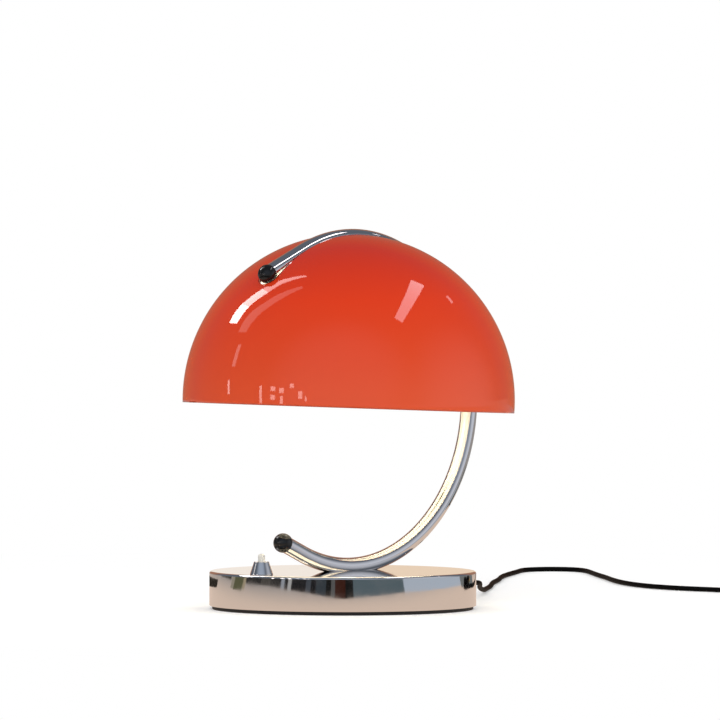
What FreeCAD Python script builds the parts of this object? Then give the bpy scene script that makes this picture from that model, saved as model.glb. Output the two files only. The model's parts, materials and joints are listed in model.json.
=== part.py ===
import FreeCAD, Part
import Sketcher
import math
import os
from types import SimpleNamespace

Vector = FreeCAD.Vector
Rotation = FreeCAD.Rotation
Placement = FreeCAD.Placement

# Driving dimensions in millimetres and degrees. The origin is the centre of the foot's face on the
# table, +Z is up, and the arc of the tube lies in the XZ plane with its open mouth towards -X.
DIMENSIONS = {
    "base_dia": 240.0, "cover_wall": 1.2, "cover_rise": 31.1, "cover_round": 2.0,
    "pad_thick": 3.2, "pad_inset": 2.5, "pad_well": 2.0, "pad_well_gap": 0.5,
    "plate_thick": 2.0, "plate_gap": 0.2,
    "weight_dia": 168.0, "weight_thick": 20.0, "weight_bore": 56.0, "lead_channel": 10.0,
    "channel_floor": 6.0, "screw_inset": 9.0, "screw_count": 3.0, "screw_start": 90.0,
    "base_screw_dia": 5.0, "base_screw_head": 9.0, "base_head_deep": 1.6, "screw_end": 5.0,
    "base_nut_dia": 12.0, "thread_gap": 0.1, "overrun": 1.0,
    "tube_dia": 15.0, "tube_wall": 1.5, "arc_inset": 1.6, "arc_offset": 9.7, "tube_sink": 3.4,
    "upper_tangent": -24.0, "lower_tangent": 204.0, "upper_straight": 42.3, "lower_straight": 21.1,
    "ball_dia": 17.5, "ball_stem_dia": 10.6, "ball_stem_len": 9.0, "seat_gap": 0.1,
    "saddle_len": 88.0, "saddle_width": 30.0, "saddle_screw_pitch": 74.0, "saddle_screw_dia": 5.0,
    "saddle_screw_aside": 8.5, "saddle_head_dia": 8.5, "saddle_head_deep": 3.0,
    "saddle_head_sink": 0.2, "saddle_screw_len": 12.0,
    "clamp_pitch": 32.0, "clamp_screw_dia": 6.0, "clamp_head_dia": 10.0, "clamp_head_deep": 5.0,
    "clamp_short": 0.4, "washer_dia": 12.0, "washer_thick": 1.2,
    "blind_nut_dia": 9.0, "blind_nut_len": 5.4, "blind_nut_lift": 2.4,
    "lead_dia": 4.6, "lead_hole": 7.0, "lead_bend": 9.0, "lead_level": 18.75, "lead_drop": 4.0,
    "lead_clear": 0.2, "lead_short": 0.5,
    "switch_inset": 20.0, "switch_body_dia": 16.0, "switch_body_deep": 18.4,
    "switch_neck_dia": 10.0, "switch_neck_rise": 5.2, "switch_bore_dia": 9.0,
    "switch_floor": 3.0, "switch_nut_dia": 15.0, "switch_nut_thick": 2.6,
    "collar_dia": 20.8, "collar_top_dia": 12.8, "collar_rise": 11.5, "collar_lip": 5.0,
    "button_dia": 6.3, "button_proud": 6.8, "button_round": 1.6, "button_flange_dia": 8.6,
    "button_flange": 2.0, "button_gap": 0.15, "flange_gap": 0.2, "plunger_dia": 4.0,
    "plunger_len": 10.5, "spring_dia": 6.6, "spring_wire": 0.7, "spring_turns": 6.0,
    "spring_gap": 0.2,
    "shade_dia": 299.0, "shade_wall": 3.0, "shade_shift": -2.7, "shade_lift": 1.5,
    "rim_drop": 7.9, "shade_tilt": 2.6,
    "slot_side_gap": 1.75, "seam_turn": 75.0,
    "runner_width": 26.0, "runner_len": 16.0, "runner_below": 8.0, "runner_gap": 0.15,
    "runner_seat": 0.05, "runner_lip": 2.2, "lip_gap": 0.15,
    "front_runner_at": -11.0, "rear_runner_at": 21.0,
    "grub_dia": 6.0, "grub_gap": 0.1, "grub_sink": 0.6, "shoe_thick": 1.8, "shoe_gap": 0.2,
    "boss_dia": 16.0, "boss_len": 9.0, "boss_saddle": 3.0, "nipple_dia": 10.0, "nipple_bore": 7.0,
    "nipple_grip": 5.0, "nipple_nut_dia": 18.0, "nipple_nut_thick": 3.0,
    "holder_dia": 40.0, "holder_cap_len": 16.0, "holder_cone": 5.0, "holder_narrow": 12.0,
    "holder_wall": 2.0, "holder_sleeve_dia": 35.8, "holder_sleeve_len": 30.0,
    "holder_sleeve_bore": 28.6, "core_thick": 6.6, "core_disc": 4.0, "core_inset": 1.15,
    "core_stub_dia": 16.0, "core_gap": 0.2, "contact_dia": 8.0, "contact_thick": 1.0,
    "bulb_dia": 60.0, "bulb_len": 106.0, "bulb_cap_dia": 26.4, "bulb_cap_len": 25.5,
    "bulb_neck_dia": 25.0, "bulb_neck_gap": 0.2, "bulb_neck_in": 8.0, "bulb_shoulder": 28.0,
    "bulb_tip_dia": 9.0, "bulb_tip_len": 1.5, "bulb_glass_wall": 1.0,
    "cord_dia": 4.6, "tail_gap": 0.4, "cord_level": 2.6, "gland_reach": 26.0,
    "gland_neck_dia": 9.0, "gland_tip_dia": 6.6, "gland_flange_dia": 14.0, "gland_flange": 2.0,
    "gland_bore_gap": 0.1, "gland_seat": 0.02, "gland_past": 1.0, "gland_nut_dia": 14.0,
    "gland_nut_thick": 3.0, "gland_nut_stand": 0.6,
    "block_len": 16.0, "block_width": 30.0, "block_rise": 18.0, "block_clear": 6.0,
    "terminal_side": 4.5, "terminal_pitch": 9.5, "terminal_well_dia": 4.2,
    "terminal_well_deep": 3.0, "terminal_screw_dia": 3.8, "terminal_screw_len": 2.0,
    "coil_dia": 54.0, "coil_across": 3.0, "coil_layers": 2.0, "coil_x": 470.0, "coil_y": -112.0,
    "coil_exit": 28.4, "coil_tail": 30.0, "tail_start": 4.0, "plug_len": 34.0, "plug_width": 35.0,
    "plug_thick": 13.6, "plug_corner": 9.0, "plug_neck_dia": 8.0, "plug_neck_flare": 3.0,
    "plug_neck_len": 10.0, "pin_dia": 4.0, "pin_len": 19.0, "pin_pitch": 18.6,
}

# The cord's route past its gland: along the table, out behind the lamp, round and back.
CORD_ROUTE = [
    (163, 1, 18.4), (182, 11, 17.2), (205, 34, 14.0), (235, 66, 8.8), (272, 98, 4.2),
    (311, 136, 2.6), (352, 171, 2.6), (395, 214, 2.6), (441, 252, 2.6), (485, 294, 2.6),
    (529, 328, 2.6), (564, 353, 2.6), (588, 372, 2.6), (608, 378, 2.6), (627, 371, 2.6),
    (637, 353, 2.6), (632, 331, 2.6), (611, 301, 2.6), (580, 261, 2.6), (548, 216, 2.6),
    (514, 172, 2.6), (485, 128, 2.6), (465, 86, 2.6), (455, 46, 2.6), (455, 8, 2.6),
    (461, -29, 2.6), (454, -66, 2.6),
]

dim = SimpleNamespace(**DIMENSIONS)
doc = FreeCAD.newDocument("MushroomLamp")
sheet = doc.addObject("Spreadsheet::Sheet", "Dim")
for row, (alias, value) in enumerate(DIMENSIONS.items(), start=1):
    sheet.set("A%d" % row, alias)
    sheet.set("B%d" % row, str(value))
    sheet.setAlias("B%d" % row, alias)
doc.recompute()
nodes = []


def node(obj, label):
    """Keep an object as one named sub-part."""
    obj.Label = label
    nodes.append(obj)
    return obj


def at(x=0.0, y=0.0, z=0.0, turn=None):
    return Placement(Vector(x, y, z), turn or Rotation())


def solid(kind, place, rules):
    """A primitive whose sizes are bound to the sheet, at its place."""
    made = doc.addObject("Part::" + kind, kind)
    for prop, rule in rules.items():
        made.setExpression(prop, rule)
    made.Placement = place
    return made


def cylinder(place, dia, height):
    return solid("Cylinder", place, {"Radius": "(%s) / 2" % dia, "Height": height})


def through(x, y, dia, low, high):
    """An upright cutter that runs a little past both heights."""
    return cylinder(at(x, y, low - dim.overrun), dia, "%r" % (high - low + 2 * dim.overrun))


def cone(place, low, top, height):
    return solid("Cone", place, {"Radius1": "(%s) / 2" % low, "Radius2": "(%s) / 2" % top, "Height": height})


def box(place, length, width, height):
    return solid("Box", place, {"Length": length, "Width": width, "Height": height})


def fuse(*shapes):
    joined = doc.addObject("Part::MultiFuse", "Fuse")
    joined.Shapes = list(shapes)
    return joined


def common(one, two):
    shared = doc.addObject("Part::MultiCommon", "Common")
    shared.Shapes = [one, two]
    return shared


def cut(base, *tools):
    taken = doc.addObject("Part::Cut", "Cut")
    taken.Base = base
    taken.Tool = tools[0] if len(tools) == 1 else fuse(*tools)
    return taken


def group(*shapes):
    held = doc.addObject("Part::Compound", "Group")
    held.Links = list(shapes)
    return held


def round_sketch(body, name, dia, value, x=0.0):
    """A circle on a body's XY plane, its diameter bound to the sheet."""
    plane = [f for f in body.Origin.OriginFeatures if f.Role == "XY_Plane"][0]
    sketch = body.newObject("Sketcher::SketchObject", name)
    sketch.AttachmentSupport = (plane, "")
    sketch.MapMode = "FlatFace"
    sketch.addGeometry(Part.Circle(Vector(x, 0, 0), Vector(0, 0, 1), value / 2), False)
    if x == 0.0:
        sketch.addConstraint(Sketcher.Constraint("Coincident", 0, 3, -1, 1))
    else:
        sketch.addConstraint(Sketcher.Constraint("DistanceX", 0, 3, x))
        sketch.addConstraint(Sketcher.Constraint("PointOnObject", 0, 3, -1))
    spot = sketch.addConstraint(Sketcher.Constraint("Diameter", 0, value))
    sketch.setExpression("Constraints[%d]" % spot, dia)
    return sketch


def highest_circle(made):
    """The number of an object's circular edge that lies highest."""
    circles = [(edge.CenterOfMass.z, number) for number, edge in enumerate(made.Shape.Edges, start=1)
               if isinstance(edge.Curve, Part.Circle)]
    return max(circles)[1]


def disc(name, dia, value, thick):
    """A PartDesign body that starts as a padded disc."""
    body = doc.addObject("PartDesign::Body", name)
    pad = body.newObject("PartDesign::Pad", name + "Pad")
    pad.Profile = round_sketch(body, name + "Circle", dia, value)
    pad.setExpression("Length", thick)
    doc.recompute()
    return body


def bore(body, name, dia, value, x=0.0, depth=None):
    """A round pocket up from a body's XY plane, right through unless a depth is given."""
    pocket = body.newObject("PartDesign::Pocket", name)
    pocket.Profile = round_sketch(body, name + "Circle", dia, value, x)
    pocket.Reversed = True
    if depth:
        pocket.setExpression("Length", depth)
    else:
        pocket.Type = "ThroughAll"
    doc.recompute()
    return pocket


def ring_of(body, feature, count):
    """Repeat a feature round the body's Z axis."""
    pattern = body.newObject("PartDesign::PolarPattern", feature.Name + "Ring")
    pattern.Originals = [feature]
    pattern.Axis = ([f for f in body.Origin.OriginFeatures if f.Role == "Z_Axis"][0], [""])
    pattern.Angle = 360.0
    pattern.Occurrences = int(count)
    body.Tip = pattern
    doc.recompute()
    return pattern


# Heights and places that follow from the sizes. The tube lies in the shade's own wall.
cover_bottom = dim.pad_thick
cover_top = cover_bottom + dim.cover_rise
cover_under = cover_top - dim.cover_wall
plate_top = cover_bottom + dim.plate_thick
weight_top = plate_top + dim.weight_thick
screw_circle = dim.weight_dia / 2 - dim.screw_inset
switch_x = dim.switch_inset - dim.base_dia / 2
slot_half = dim.tube_dia / 2 + dim.slot_side_gap
SLOT_WIDTH = "Dim.tube_dia + 2 * Dim.slot_side_gap"
ARC_RAD = "Dim.shade_dia / 2 - Dim.arc_inset"
arc_rad = dim.shade_dia / 2 - dim.arc_inset
arc_x = dim.arc_offset
arc_z = cover_top - dim.tube_sink + dim.tube_dia / 2 + arc_rad
tube_bore = dim.tube_dia - 2 * dim.tube_wall
crest_under = arc_z + arc_rad - dim.tube_dia / 2
foot_under = arc_z - arc_rad - dim.tube_dia / 2
cap_top = crest_under - dim.boss_len - dim.nipple_nut_thick
core_top = cap_top - dim.holder_wall - dim.core_gap
EAST = Rotation(Vector(0, 1, 0), 90)
NORTH = Rotation(Vector(1, 0, 0), -90)


def radial(angle, reach=0.0, x=0.0, y=0.0):
    """A place on the arc: local +Z points away from the arc's centre, local +X on round the arc."""
    turn = Rotation(Vector(0, 1, 0), angle)
    return Placement(Vector(arc_x, 0, arc_z), turn) * at(x, y, reach)


def ring_sector(start, sweep, section):
    """A sector of the arc's torus, from one angle past the crest on through a sweep."""
    along = radial(start).Rotation
    out = along.multVec(Vector(0, 0, 1))
    onward = along.multVec(Vector(1, 0, 0))
    place = Placement(Vector(arc_x, 0, arc_z), Rotation(out, onward, Vector(0, 1, 0), "XYZ"))
    made = solid("Torus", place, {"Radius1": ARC_RAD, "Radius2": "(%s) / 2" % section})
    made.Angle3 = sweep
    return made


def tube_solid(section):
    """The arc with its two straight ends, as one solid of the given diameter."""
    start, end = dim.upper_tangent, dim.lower_tangent
    back = Rotation(Vector(0, 1, 0), start - 90)
    front = Rotation(Vector(0, 1, 0), end + 90)
    first = radial(start, arc_rad).Base
    last = radial(end, arc_rad).Base
    return fuse(
        ring_sector(start, end - start, section),
        cylinder(Placement(first, back), section, "Dim.upper_straight"),
        cylinder(Placement(last, front), section, "Dim.lower_straight"),
    )


def groove(gap):
    """The full ring of the tube's section, larger by a gap, that seats are cut with."""
    return ring_sector(0.0, 360.0, "Dim.tube_dia + 2 * Dim.%s" % gap)


def base_pieces():
    spots = []
    for index in range(int(dim.screw_count)):
        angle = math.radians(dim.screw_start + index * 360 / dim.screw_count)
        spots.append((screw_circle * math.cos(angle), screw_circle * math.sin(angle)))
    well_low = cover_bottom - dim.pad_well
    wells = [through(x, y, "Dim.base_screw_head + 2 * Dim.pad_well_gap", well_low + dim.overrun, cover_bottom)
             for x, y in spots]
    pad = cylinder(at(), "Dim.base_dia - 2 * Dim.pad_inset", "Dim.pad_thick")
    node(cut(pad, *wells), "foot_pad")

    plate_dia = "Dim.base_dia - 2 * (Dim.cover_wall + Dim.plate_gap)"
    plate_value = dim.base_dia - 2 * (dim.cover_wall + dim.plate_gap)
    hole, hole_value = "Dim.base_screw_dia + 2 * Dim.thread_gap", dim.base_screw_dia + 2 * dim.thread_gap
    turned = Rotation(Vector(0, 0, 1), dim.screw_start)
    plate = disc("BasePlate", plate_dia, plate_value, "Dim.plate_thick")
    ring_of(plate, bore(plate, "PlateHole", hole, hole_value, screw_circle), dim.screw_count)
    plate.Placement = at(z=cover_bottom, turn=turned)
    node(plate, "base_plate")

    weight = disc("BaseWeight", "Dim.weight_dia", dim.weight_dia, "Dim.weight_thick")
    ring_of(weight, bore(weight, "WeightHole", hole, hole_value, screw_circle), dim.screw_count)
    weight.Placement = at(z=plate_top, turn=turned)
    centre = through(arc_x, 0, "Dim.weight_bore", plate_top, weight_top)
    channel = box(at(-dim.weight_dia / 2, -dim.lead_channel / 2, plate_top + dim.channel_floor),
                  "Dim.weight_dia", "Dim.lead_channel", "Dim.weight_thick")
    tap_low = weight_top - dim.saddle_screw_len
    taps = [through(arc_x + side * dim.saddle_screw_pitch / 2, dim.saddle_screw_aside,
                    "Dim.saddle_screw_dia + 2 * Dim.thread_gap", tap_low, weight_top) for side in (-1, 1)]
    node(cut(weight, centre, channel, *taps), "base_weight")

    cover = disc("BaseCover", "Dim.base_dia", dim.base_dia, "Dim.cover_rise")
    cover.Placement = at(z=cover_bottom)
    rounding = cover.newObject("PartDesign::Fillet", "CoverRound")
    disc_pad = doc.getObject("BaseCoverPad")
    rounding.Base = (disc_pad, ["Edge%d" % highest_circle(disc_pad)])
    rounding.setExpression("Radius", "Dim.cover_round")
    doc.recompute()
    bore(cover, "CoverHollow", "Dim.base_dia - 2 * Dim.cover_wall", dim.base_dia - 2 * dim.cover_wall,
         depth="Dim.cover_rise - Dim.cover_wall")
    switch_hole = through(switch_x, 0, "Dim.switch_neck_dia + 2 * Dim.seat_gap", cover_under, cover_top)
    cord_hole = cylinder(at(dim.base_dia / 2 - dim.gland_neck_dia, 0, dim.lead_level, EAST),
                         "Dim.gland_neck_dia + 2 * Dim.seat_gap", "2 * Dim.gland_neck_dia")
    node(cut(cover, groove("seat_gap"), switch_hole, cord_hole), "base_cover")

    screws, nuts = [], []
    for x, y in spots:
        screws.append(fuse(
            cylinder(at(x, y, cover_bottom - dim.base_head_deep), "Dim.base_screw_head",
                     "Dim.base_head_deep"),
            cylinder(at(x, y, cover_bottom - dim.overrun), "Dim.base_screw_dia",
                     "Dim.plate_thick + Dim.weight_thick + Dim.screw_end + Dim.overrun")))
        nuts.append(cut(
            cylinder(at(x, y, weight_top), "Dim.base_nut_dia", "%r" % (cover_under - weight_top)),
            through(x, y, "Dim.base_screw_dia + 2 * Dim.thread_gap", weight_top, weight_top + dim.screw_end)))
    node(group(*screws), "base_screws")
    node(group(*nuts), "cover_nuts")


def saddle_pieces():
    block = box(at(arc_x - dim.saddle_len / 2, -dim.saddle_width / 2, weight_top),
                "Dim.saddle_len", "Dim.saddle_width", "%r" % (cover_under - weight_top))
    holes = [through(arc_x, 0, "Dim.lead_hole", weight_top, cover_under)]
    screws, clamps, washers, blind = [], [], [], []
    screw_hole = "Dim.saddle_screw_dia + 2 * Dim.thread_gap"
    clamp_hole = "Dim.clamp_screw_dia + 2 * Dim.thread_gap"
    head = cover_under - dim.saddle_head_deep
    under = weight_top - dim.washer_thick
    nut_foot = foot_under + dim.blind_nut_lift
    nut_top = nut_foot + dim.blind_nut_len
    for side in (-1, 1):
        x, y = arc_x + side * dim.saddle_screw_pitch / 2, dim.saddle_screw_aside
        holes.append(through(x, y, screw_hole, weight_top, cover_under))
        holes.append(cylinder(at(x, y, head), "Dim.saddle_head_dia + 2 * Dim.thread_gap",
                              "Dim.saddle_head_deep + Dim.overrun"))
        screws.append(fuse(
            cylinder(at(x, y, head), "Dim.saddle_head_dia", "Dim.saddle_head_deep - Dim.saddle_head_sink"),
            cylinder(at(x, y, weight_top - dim.saddle_screw_len), "Dim.saddle_screw_dia",
                     "%r" % (head + dim.overrun - weight_top + dim.saddle_screw_len))))
        x = arc_x + side * dim.clamp_pitch / 2
        holes.append(through(x, 0, clamp_hole, weight_top, cover_under))
        washers.append(cut(cylinder(at(x, 0, under), "Dim.washer_dia", "Dim.washer_thick"),
                           through(x, 0, clamp_hole, under, weight_top)))
        clamps.append(fuse(
            cylinder(at(x, 0, under - dim.clamp_head_deep), "Dim.clamp_head_dia", "Dim.clamp_head_deep"),
            cylinder(at(x, 0, under - dim.overrun), "Dim.clamp_screw_dia",
                     "%r" % (nut_top - dim.clamp_short - under + dim.overrun))))
        blind.append(cut(cylinder(at(x, 0, nut_foot), "Dim.blind_nut_dia", "Dim.blind_nut_len"),
                         through(x, 0, clamp_hole, nut_foot, nut_top)))
    node(cut(block, groove("seat_gap"), *holes), "tube_saddle")
    node(group(*screws), "saddle_screws")
    node(group(*clamps), "clamp_screws")
    node(group(*washers), "clamp_washers")
    node(group(*blind), "tube_nuts")


def ball(place, label):
    """A ball end: its flat stands on the tube's end and its stem goes into the bore."""
    flat = math.sqrt((dim.ball_dia / 2) ** 2 - (dim.tube_dia / 2 + dim.seat_gap) ** 2)
    head = solid("Sphere", place * at(z=flat), {"Radius": "Dim.ball_dia / 2"})
    head.Angle1 = -math.degrees(math.asin(flat / (dim.ball_dia / 2)))
    stem = cylinder(place * at(z=-dim.ball_stem_len), "Dim.ball_stem_dia", "Dim.ball_stem_len + Dim.overrun")
    node(fuse(head, stem), label)
    return place * Vector(0, 0, flat)


def arc_pieces():
    """The C-shaped tube with its holes, and the ball ends. Returns the upper ball's centre."""
    middle = dim.tube_dia / 2
    holes = [through(arc_x, 0, "Dim.lead_hole", crest_under, crest_under + middle),
             through(arc_x, 0, "Dim.lead_hole", foot_under, foot_under + middle)]
    for side in (-1, 1):
        holes.append(through(arc_x + side * dim.clamp_pitch / 2, 0, "Dim.blind_nut_dia + 2 * Dim.thread_gap",
                             foot_under, foot_under + middle))
    node(cut(tube_solid("Dim.tube_dia"), tube_solid("Dim.tube_dia - 2 * Dim.tube_wall"), *holes), "arc_tube")
    upper = radial(dim.upper_tangent, arc_rad)
    lower = radial(dim.lower_tangent, arc_rad)
    upper_end = Placement(upper.Base, Rotation(Vector(0, 1, 0), dim.upper_tangent - 90))
    lower_end = Placement(lower.Base, Rotation(Vector(0, 1, 0), dim.lower_tangent + 90))
    ball(lower_end * at(z=dim.lower_straight), "lower_ball")
    return ball(upper_end * at(z=dim.upper_straight), "upper_ball")


def helix_spring(x, low, high):
    """A coil spring between two heights."""
    wire = dim.spring_wire
    rise = high - low - wire
    path = Part.makeHelix(rise / dim.spring_turns, rise, dim.spring_dia / 2)
    ring = Part.Wire(Part.makeCircle(wire / 2, Vector(dim.spring_dia / 2, 0, 0), Vector(0, 1, 0)))
    made = doc.addObject("Part::Feature", "Spring")
    made.Shape = Part.Wire(path).makePipeShell([ring], True, True)
    made.Placement = at(x, 0, low + wire / 2)
    return made


def switch_pieces():
    """The push switch under the cover, its collar, button and spring. Returns the housing's bottom."""
    x = switch_x
    shoulder = cover_under - dim.switch_nut_thick
    low = shoulder - dim.switch_body_deep
    neck_top = cover_top + dim.switch_neck_rise
    neck_hole = "Dim.switch_neck_dia + 2 * Dim.thread_gap"
    housing = fuse(cylinder(at(x, 0, low), "Dim.switch_body_dia", "Dim.switch_body_deep"),
                   cylinder(at(x, 0, shoulder - dim.overrun), "Dim.switch_neck_dia",
                            "%r" % (neck_top - shoulder + dim.overrun)))
    floor = low + dim.switch_floor
    inside = cylinder(at(x, 0, floor), "Dim.switch_bore_dia", "%r" % (neck_top - floor + dim.overrun))
    node(cut(housing, inside), "switch_housing")
    node(cut(cylinder(at(x, 0, shoulder), "Dim.switch_nut_dia", "Dim.switch_nut_thick"),
             through(x, 0, neck_hole, shoulder, cover_under)), "switch_nut")
    collar_top = cover_top + dim.collar_rise
    lip = collar_top - dim.collar_lip
    collar = cut(cone(at(x, 0, cover_top), "Dim.collar_dia", "Dim.collar_top_dia", "Dim.collar_rise"),
                 cylinder(at(x, 0, cover_top - dim.overrun), neck_hole,
                          "%r" % (lip - cover_top + dim.overrun)),
                 through(x, 0, "Dim.button_dia + 2 * Dim.button_gap", lip, collar_top))
    node(collar, "switch_collar")
    flange_low = lip - dim.flange_gap - dim.button_flange
    button_top = collar_top + dim.button_proud
    cap = cylinder(at(x, 0, flange_low), "Dim.button_dia", "%r" % (button_top - flange_low))
    doc.recompute()
    rounded = doc.addObject("Part::Fillet", "ButtonRound")
    rounded.Base = cap
    rounded.Edges = [(highest_circle(cap), dim.button_round, dim.button_round)]
    node(fuse(rounded, cylinder(at(x, 0, flange_low), "Dim.button_flange_dia", "Dim.button_flange"),
              cylinder(at(x, 0, flange_low - dim.plunger_len), "Dim.plunger_dia",
                       "Dim.plunger_len + Dim.overrun")), "switch_button")
    node(helix_spring(x, floor, flange_low - dim.spring_gap), "switch_spring")


def gland_pieces(block_end):
    """The mains tail, and the sleeve that guides it out of the cover with its nut."""
    level = dim.lead_level
    wall = dim.base_dia / 2
    tip = wall + dim.gland_reach
    node(cylinder(at(block_end, 0, level, EAST), "Dim.cord_dia", "%r" % (tip - block_end)), "mains_tail")
    nut_in = wall - dim.cover_wall - dim.gland_nut_thick - dim.gland_nut_stand
    neck_in = nut_in - dim.gland_past
    sleeve = fuse(
        cylinder(at(neck_in, 0, level, EAST), "Dim.gland_neck_dia", "%r" % (wall + dim.overrun - neck_in)),
        cylinder(at(wall + dim.gland_seat, 0, level, EAST), "Dim.gland_flange_dia", "Dim.gland_flange"),
        cone(at(wall + dim.overrun, 0, level, EAST), "Dim.gland_neck_dia", "Dim.gland_tip_dia",
             "Dim.gland_reach - Dim.overrun"))
    sleeve_bore = cylinder(at(neck_in - dim.overrun, 0, level, EAST), "Dim.cord_dia + 2 * Dim.gland_bore_gap",
                           "%r" % (tip - neck_in + 2 * dim.overrun))
    node(cut(sleeve, sleeve_bore), "cord_gland")
    node(cut(cylinder(at(nut_in, 0, level, EAST), "Dim.gland_nut_dia", "Dim.gland_nut_thick"),
             cylinder(at(nut_in - dim.overrun, 0, level, EAST), "Dim.gland_neck_dia + 2 * Dim.thread_gap",
                      "Dim.gland_nut_thick + 2 * Dim.overrun")), "gland_nut")
    return tip


def lead_pieces():
    """The wires in the base and in the tube, the terminal block and the gland. Returns the gland's tip."""
    block_x = dim.base_dia / 2 - dim.cover_wall - dim.plate_gap - dim.block_clear - dim.block_len
    block = box(at(block_x, -dim.block_width / 2, plate_top), "Dim.block_len", "Dim.block_width",
                "Dim.block_rise")
    floor = plate_top + dim.block_rise - dim.terminal_well_deep
    wells, screws = [], []
    for lane in (-1, 0, 1):
        for side in (-1, 1):
            x = block_x + dim.block_len / 2 + side * dim.terminal_side
            place = at(x, lane * dim.terminal_pitch, floor)
            wells.append(cylinder(place, "Dim.terminal_well_dia", "Dim.terminal_well_deep + Dim.overrun"))
            screws.append(cylinder(place, "Dim.terminal_screw_dia", "Dim.terminal_screw_len"))
    node(cut(block, *wells), "terminal_block")
    node(group(*screws), "terminal_screws")
    tip = gland_pieces(block_x + dim.block_len)
    switch_face = switch_x + dim.switch_body_dia / 2
    node(cylinder(at(switch_face, 0, dim.lead_level - dim.lead_drop, EAST), "Dim.lead_dia",
                  "%r" % (arc_x - dim.lead_short - switch_face)), "switch_lead")
    node(inner_lead(block_x), "inner_lead")
    return tip


def arc_edge(centre, start, end, middle):
    """An arc about a centre between two points, bulging towards a third."""
    rad = (start - centre).Length
    mid = centre + (middle - centre).normalize() * rad
    return Part.Arc(start, mid, end).toShape()


def inner_lead(block_x):
    """The lead from the terminal block, up through the saddle, round in the tube and down the nipple."""
    lift = (tube_bore / 2 - dim.lead_dia / 2 - dim.lead_clear) / 2
    bend, rad = dim.lead_bend, arc_rad - lift
    middle = Vector(arc_x, 0, arc_z + lift)
    level = dim.lead_level - dim.lead_drop
    up_turn = Vector(arc_x + bend, 0, level + bend)
    low = Vector(arc_x + bend, 0, middle.z - math.sqrt((rad + bend) ** 2 - bend ** 2))
    top = Vector(arc_x + bend, 0, middle.z + math.sqrt((rad - bend) ** 2 - bend ** 2))
    join_low = middle + (low - middle).normalize() * rad
    join_top = middle + (top - middle).normalize() * rad
    corner, rise = Vector(arc_x + bend, 0, level), Vector(arc_x, 0, level + bend)
    foot, crest = Vector(arc_x, 0, low.z), Vector(arc_x, 0, top.z)
    begin, end = Vector(block_x, 0, level), Vector(arc_x, 0, core_top)
    edges = [
        Part.LineSegment(begin, corner).toShape(),
        arc_edge(up_turn, corner, rise, up_turn + Vector(-1, 0, -1)),
        Part.LineSegment(rise, foot).toShape(),
        arc_edge(low, foot, join_low, (foot + join_low) * 0.5),
        arc_edge(middle, join_low, join_top, middle + Vector(1, 0, 0)),
        arc_edge(top, join_top, crest, (join_top + crest) * 0.5),
        Part.LineSegment(crest, end).toShape(),
    ]
    ring = Part.Wire(Part.makeCircle(dim.lead_dia / 2, begin, Vector(1, 0, 0)))
    made = doc.addObject("Part::Feature", "InnerLead")
    made.Shape = Part.Wire(edges).makePipeShell([ring], True, False)
    made.Placement = at()
    return made


def lampholder_pieces():
    """The boss under the crest, the nipple and nut, and the lampholder. Returns the contact's underside."""
    x = arc_x
    boss_low = crest_under - dim.boss_len
    nipple_top = boss_low + dim.nipple_grip
    nipple_low = cap_top - dim.holder_wall
    nipple_hole = "Dim.nipple_dia + 2 * Dim.thread_gap"
    boss = cut(cylinder(at(x, 0, boss_low), "Dim.boss_dia", "Dim.boss_len + Dim.boss_saddle"),
               groove("seat_gap"),
               cylinder(at(x, 0, boss_low - dim.overrun), nipple_hole, "Dim.nipple_grip + Dim.overrun"),
               through(x, 0, "Dim.lead_hole", nipple_top, crest_under))
    node(boss, "nipple_boss")
    node(cut(cylinder(at(x, 0, nipple_low), "Dim.nipple_dia", "%r" % (nipple_top - nipple_low)),
             through(x, 0, "Dim.nipple_bore", nipple_low, nipple_top)), "nipple")
    node(cut(cylinder(at(x, 0, cap_top), "Dim.nipple_nut_dia", "Dim.nipple_nut_thick"),
             through(x, 0, nipple_hole, cap_top, boss_low)), "nipple_nut")
    cap_low = cap_top - dim.holder_cap_len
    cone_low = cap_top - dim.holder_cone
    shell = fuse(cylinder(at(x, 0, cap_low), "Dim.holder_dia", "Dim.holder_cap_len - Dim.holder_cone"),
                 cone(at(x, 0, cone_low), "Dim.holder_dia", "Dim.holder_dia - Dim.holder_narrow",
                      "Dim.holder_cone"))
    inner = "Dim.holder_dia - 2 * Dim.holder_wall"
    hollow = fuse(cylinder(at(x, 0, cap_low - dim.overrun), inner, "Dim.holder_cap_len - Dim.holder_cone"),
                  cone(at(x, 0, cone_low - dim.overrun), inner, inner + " - Dim.holder_narrow / 2",
                       "Dim.holder_cone - Dim.holder_wall + Dim.overrun"))
    node(cut(shell, hollow, through(x, 0, nipple_hole, nipple_low, cap_top)), "holder_cap")
    core_low = core_top - dim.core_thick
    core = fuse(cylinder(at(x, 0, core_low), "Dim.holder_sleeve_dia - 2 * Dim.core_inset", "Dim.core_disc"),
                cylinder(at(x, 0, core_low), "Dim.core_stub_dia", "Dim.core_thick"))
    node(core, "holder_core")
    sleeve_low = core_low - dim.holder_sleeve_len
    node(cut(cylinder(at(x, 0, sleeve_low), "Dim.holder_sleeve_dia", "Dim.holder_sleeve_len"),
             through(x, 0, "Dim.holder_sleeve_bore", sleeve_low, core_low)), "holder_sleeve")
    contact_low = core_low - dim.contact_thick
    node(cylinder(at(x, 0, contact_low), "Dim.contact_dia", "Dim.contact_thick"), "holder_contact")
    return contact_low


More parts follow.
